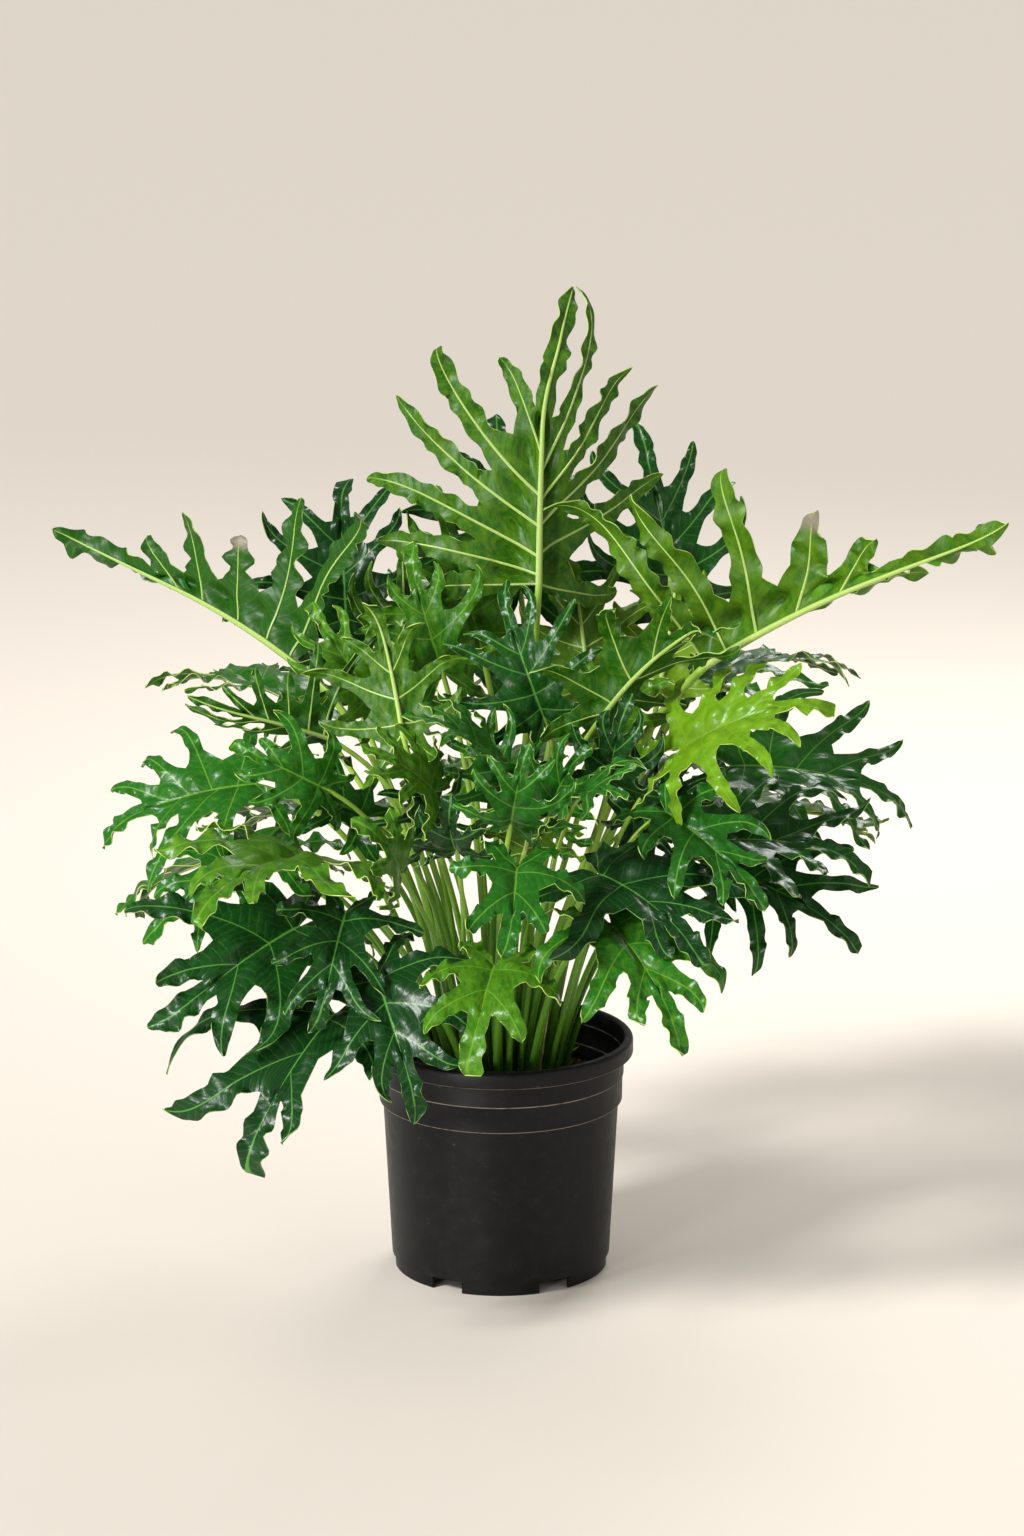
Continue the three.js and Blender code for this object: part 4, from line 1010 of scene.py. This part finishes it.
def ground_look(tree, low, high, grain, deep):
    """Matt, and uneven in colour from grain to grain. grain and deep are metres."""
    shade = add(tree, "Attribute", attribute_name="shade").outputs["Fac"]
    grains = add(tree, "TexNoise", {"Scale": 1 / grain, "Detail": 5, "Roughness": 0.65})
    share = add(tree, "Math", {0: grains, 1: 0.8, 2: shade}, operation="MULTIPLY_ADD")
    colour = add(tree, "ValToRGB", {"Fac": share}, [(0.3, low), (1, high)])
    bump = add(tree, "Bump", {"Height": grains, "Strength": 0.8, "Distance": deep})
    return {"Base Color": colour, "Roughness": 0.92, "IOR": DULL_IOR, "Normal": bump}


def sheath_look(tree):
    """A dried leaf sheath: papery and matt, with fibres along it."""
    place = add(tree, "TexCoord").outputs["Object"]
    stretch = add(tree, "VectorMath", {0: place, 1: (1, 1, 0.08)}, operation="MULTIPLY")
    fibre = add(tree, "TexNoise", {"Vector": stretch, "Scale": 1 / FIBRE_SIZE, "Detail": 4})
    colour = add(tree, "ValToRGB", {"Fac": fibre}, [(0.3, "#8a6a3c"), (0.7, "#cdb684")])
    bump = add(tree, "Bump", {"Height": fibre, "Strength": 0.6, "Distance": 0.0004})
    return {"Base Color": colour, "Roughness": 0.8, "IOR": DULL_IOR, "Normal": bump}


def floor_look(_):
    """Matt pale paint, the same all over."""
    return {"Base Color": linear("#dcd3c8"), "Roughness": 0.9, "IOR": DULL_IOR}


def turned(profile, segments):
    """A closed solid turned from a profile of (radius, height), as points and triangles."""
    turns = np.arange(segments) * 2 * math.pi / segments
    points, rows = [], []
    for radius, height in profile:
        if radius == 0:
            rows.append(np.full(segments, len(points)))
            points.append((0, 0, height))
            continue
        rows.append(len(points) + np.arange(segments))
        points.extend((radius * math.cos(turn), radius * math.sin(turn), height) for turn in turns)
    faces = []
    for low, high in zip(rows, rows[1:]):
        for k in range(segments):
            n = (k + 1) % segments
            for face in ((low[k], low[n], high[n]), (low[k], high[n], high[k])):
                if len(set(face)) == 3:
                    faces.append(face)
    return np.array(points, float), np.array(faces)


def block(size, place, turn):
    """A box turned about the upright axis, as points and triangles."""
    corners = BOX_CORNERS * (np.array(size) / 2) + place
    cosine, sine = math.cos(turn), math.sin(turn)
    spin = np.array([[cosine, -sine, 0], [sine, cosine, 0], [0, 0, 1]])
    return corners @ spin.T, BOX_FACES


def rounded(radius, height, size, first, last):
    """A profile's round corner of one size about a middle at a radius and a height, from one way to
    another in degrees."""
    turns = np.radians(np.linspace(first, last, ROUND_STEPS))
    return [(radius + size * math.cos(turn), height + size * math.sin(turn)) for turn in turns]


def make_pot():
    """The pot: a thin moulded wall with a rolled rim, a ridge and a step, and a notched foot."""
    roll_low = POT_HEIGHT - ROLL_HEIGHT
    profile = [
        (0, FOOT_HEIGHT),
        (FOOT_RADIUS - FOOT_WIDTH, FOOT_HEIGHT),
        (FOOT_RADIUS - FOOT_WIDTH, 0),
        *rounded(FOOT_RADIUS - EDGE_ROUND, EDGE_ROUND, EDGE_ROUND, -90, 0),
        (FOOT_RADIUS + 0.5, FOOT_HEIGHT),
        (BASE_RADIUS, FOOT_HEIGHT + 0.6),
        (BODY_RADIUS, STEP_HEIGHT - 1.5),
        *rounded(STEP_RADIUS - EDGE_ROUND, STEP_HEIGHT, EDGE_ROUND, -60, 10),
        (STEP_RADIUS + 0.4, RIDGE_HEIGHT - 1),
        *rounded(COLLAR_RADIUS - RIDGE_ROUND, RIDGE_HEIGHT + 0.3, RIDGE_ROUND, -60, 10),
        (COLLAR_RADIUS + 0.2, roll_low),
        *rounded(RIM_RADIUS - ROLL_LOW, roll_low + 2, ROLL_LOW, -90, 0),
        *rounded(RIM_RADIUS - ROLL_OUTER, POT_HEIGHT - ROLL_OUTER, ROLL_OUTER, 0, 90),
        *rounded(RIM_RADIUS - 5.4, POT_HEIGHT - ROLL_INNER, ROLL_INNER, 90, 170),
        (COLLAR_RADIUS + 0.2 - WALL, roll_low),
        (COLLAR_RADIUS - WALL, RIDGE_HEIGHT),
        (STEP_RADIUS + 0.4 - WALL, RIDGE_HEIGHT - 1),
        (STEP_RADIUS - WALL, STEP_HEIGHT),
        (BODY_RADIUS - WALL, STEP_HEIGHT - 1.5),
        (BASE_RADIUS - WALL, FOOT_HEIGHT + FLOOR_THICKNESS),
        (0, FOOT_HEIGHT + FLOOR_THICKNESS),
    ]
    points, faces = turned(profile, POT_SEGMENTS)
    # Moulded polypropylene: a soft broad sheen on black, dulled by dust, with painted highlight lines on
    # its ridges
    black = make_material("black_polypropylene", plastic_look)
    pot = mesh_piece("pot_shell", [(points, faces, 0, None)], [black])
    cutters = []
    for i in range(FEET):
        turn = (i + 0.5) / FEET * 2 * math.pi - math.pi / 2
        place = (FOOT_RADIUS, 0, (FOOT_HEIGHT - 1.2) / 2)
        cutters.append((*block((20, NOTCH_WIDTH, FOOT_HEIGHT + 0.8), place, turn), 0, None))
        hole, sides = turned([(0, -4), (DRAIN_RADIUS, -4), (DRAIN_RADIUS, 4), (0, 4)], 24)
        middle = (DRAIN_RING * math.cos(turn), DRAIN_RING * math.sin(turn), FOOT_HEIGHT + 1.2)
        cutters.append((hole + middle, sides, 0, None))
    cutter = mesh_piece("cutter", cutters, [])
    cut = pot.modifiers.new("notches", "BOOLEAN")
    cut.operation = "DIFFERENCE"
    cut.solver = "EXACT"
    cut.object = cutter
    shown = pot.evaluated_get(bpy.context.evaluated_depsgraph_get())
    whole = bpy.data.meshes.new_from_object(shown)
    pot.modifiers.clear()
    pot.data = whole
    bpy.data.objects.remove(cutter)
    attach(pot, "root")
    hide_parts("nursery_pot")


def soil_fall(radius):
    """How far the soil lies below its middle at a radius: it sinks towards the wall."""
    return SOIL_FALL * smooth((radius - SOIL_FLAT) / SOIL_SLOPE)


def make_soil():
    """The potting mix: one plug with an uneven top, with loose bark chips and a small sprout on it."""
    chance = np.random.default_rng(SOIL_SEED)
    bottom = FOOT_HEIGHT + FLOOR_THICKNESS + 0.3
    wide = STEP_RADIUS - WALL - 0.5
    side = [(0, bottom), (BASE_RADIUS - WALL - 0.5, bottom), (BODY_RADIUS - WALL - 0.5, STEP_HEIGHT - 2)]
    rings = np.linspace(wide - 0.5, 0, SOIL_RINGS)
    top = [(wide, STEP_HEIGHT + 1), *((radius, SOIL_HEIGHT - soil_fall(radius)) for radius in rings)]
    points, faces = turned([*side, *top], SOIL_SEGMENTS)
    for point in points:
        if point[2] > SOIL_HEIGHT - 4:
            coarse = noise.noise(Vector((point[0] / 14, point[1] / 14, 0)))
            fine = noise.noise(Vector((point[0] / 4, point[1] / 4, 5)))
            point[2] += 1.6 * coarse + 1.2 * fine
    # Peat: nearly black and crumbly
    peat = make_material("peat_mix", ground_look, "#17110d", "#3b2a1f", 0.004, 0.002)
    plug = mesh_piece("soil_plug", [(points, faces, 0, None)], [peat], [("shade", 0)])
    chips, shades = [], []
    for _ in range(CHIPS):
        size = chance.uniform(SMALLEST_CHIP, LARGEST_CHIP)
        corners = BOX_CORNERS * size / 2 * chance.uniform(0.7, 1.1, (8, 3))
        tilt = chance.normal(0, 0.35, 2)
        turn = chance.uniform(0, 2 * math.pi)
        way = unit([math.cos(turn), math.sin(turn), tilt[0]])
        up = unit(np.cross(way, (-way[1], way[0], tilt[1])))
        basis = np.stack([way, np.cross(up, way), up])
        ring = (wide - 6) * math.sqrt(chance.uniform())
        bearing = chance.uniform(0, 2 * math.pi)
        high = SOIL_HEIGHT + chance.uniform(-0.5, 2.2) - soil_fall(ring)
        middle = (ring * math.cos(bearing), ring * math.sin(bearing), high)
        chips.append((corners @ basis + middle, BOX_FACES, 0, None))
        shades.append(np.full(8, chance.uniform(-0.35, 0.75) if chance.uniform() < 0.8 else 0.8))
    # Chips of pine bark: red-brown, and a few pale where they broke
    pine = make_material("pine_bark", ground_look, "#2b1a10", "#8d6440", 0.003, 0.0008)
    bark = mesh_piece("bark_chips", chips, [pine], [("shade", np.concatenate(shades))])
    sprout = [tube([(65, 70, 178), (66, 68, 184), SPROUT_TOP], (0.9, 0.8, 0.5), (0, -1, 0))]
    for turn, long in ((20, 9), (140, 7), (260, 8)):
        way = np.array([math.cos(math.radians(turn)), math.sin(math.radians(turn)), 0.6])
        line = np.array(SPROUT_TOP) + way * np.linspace(0, long, 5)[:, None]
        sprout.append(tube(line, (0.4, 1.6, 2.2, 1.5, 0.2), (0, 0, 1), 0.2))
    sprout = [(*form, UPPER, None) for form in sprout]
    shoot = mesh_piece("soil_sprout", sprout, LEAF_SKINS, [("youth", 0.8)])
    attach(shoot, "root")
    for piece in (plug, bark):
        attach(piece, "root")
    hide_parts("soil")


def make_sheath(foot):
    """The dried sheath that stands among the petioles: a wrinkled tube, narrow at its top."""
    top = np.array(SHEATH_TOP, float)
    up = unit(top - foot)
    share = np.linspace(0, 1, SHEATH_ROWS)
    line = top + (foot - up * STEM_END - top) * share[:, None]
    line[:, 0] += 2.2 * np.sin(share * 7) * (1 - share)
    radii = np.interp(share, (0, 0.25, 0.55, 0.85, 1), SHEATH_RADII)
    points, faces = tube(line, radii, (0, -1, 0), 0.8, 0, SHEATH_SIDES)
    for row in range(SHEATH_ROWS):
        for k in range(SHEATH_SIDES):
            turn = 2 * math.pi * k / SHEATH_SIDES
            fold = 0.13 * math.sin(5 * turn + 3 * share[row]) + 0.07 * math.sin(11 * turn - 9 * share[row])
            pinch = 0.1 * math.sin(40 * share[row] + 2 * turn)
            i = row * SHEATH_SIDES + k
            points[i] += (points[i] - line[row]) * (fold + pinch)
    # Dried sheath: pale straw, with no shine
    straw = make_material("dry_papery_sheath", sheath_look)
    piece = mesh_piece("sheath_skin", [(points, faces, 0, None)], [straw])
    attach(piece, "root")
    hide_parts("dried_sheath")


def set_stage():
    """A plain pale floor, soft studio light, and the camera."""
    far = FLOOR_SIZE / 2
    mesh = bpy.data.meshes.new("floor")
    mesh.from_pydata([(-far, -far, 0), (far, -far, 0), (far, far, 0), (-far, far, 0)], [], [(0, 1, 2, 3)])
    mesh.materials.append(make_material("pale_floor", floor_look))
    floor_piece = new_object("floor", mesh)
    for name, kind, place, power, settings in LAMPS:
        data = bpy.data.lights.new(name, kind)
        data.energy = power
        for label, value in settings.items():
            setattr(data, label, value)
        lamp = new_object(name, data)
        lamp.location = place
        lamp.rotation_euler = (LAMP_TARGET - lamp.location).to_track_quat("-Z", "Y").to_euler()
    scene = bpy.context.scene
    scene.world = bpy.data.worlds.new("studio")
    scene.world.use_nodes = True
    tree = scene.world.node_tree
    tree.nodes.clear()
    glow = add(tree, "Background", {"Color": linear("#f3f0ea"), "Strength": ROOM_GLOW})
    add(tree, "OutputWorld", {"Surface": glow})
    lens = bpy.data.cameras.new("camera")
    lens.lens = CAMERA_LENS
    lens.sensor_width = SENSOR
    scene.camera = new_object("camera", lens)
    scene.camera.location = CAMERA_PLACE
    scene.camera.rotation_euler = (math.pi / 2 - CAMERA_DOWN, 0, 0)
    scene.view_settings.view_transform = "Standard"


# The skins of a leaf, in the order of its material slots
LEAF_SKINS = [
    # The waxy upper face: dark blue-green to lime, with soft broad highlights
    make_material("waxy_leaf_face", blade_look, "#0d3310", "#1c5b10", "#6a9214", "#52893a", 0.3, 0.0004),
    # The under face: duller, with its side veins sunk the other way
    make_material("satin_leaf_back", blade_look, "#113406", "#1c4e05", "#6a8e12", "#578c2a", 0.42, -0.0004),
    # The cut edge of the blade: a thin pale line round every strap, a painted highlight along the edge
    make_material("blade_rim_painted_highlight", pale_look, "#73984e", "#b3c95f", 0.45),
    # Raised veins: paler than the blade and a little duller
    make_material("pale_vein", pale_look, "#749644", "#b4cb72", 0.4),
    # Petioles: smooth and waxy, with long highlights
    make_material("petiole_skin", stalk_look),
]

set_stage()
make_pot()
make_soil()
leaf_feet = foot_places([*(row["at"] for row in LEAVES), SHEATH_TOP])
for row, foot in zip(LEAVES, leaf_feet):
    grow_leaf(row, foot)
make_sheath(leaf_feet[-1])
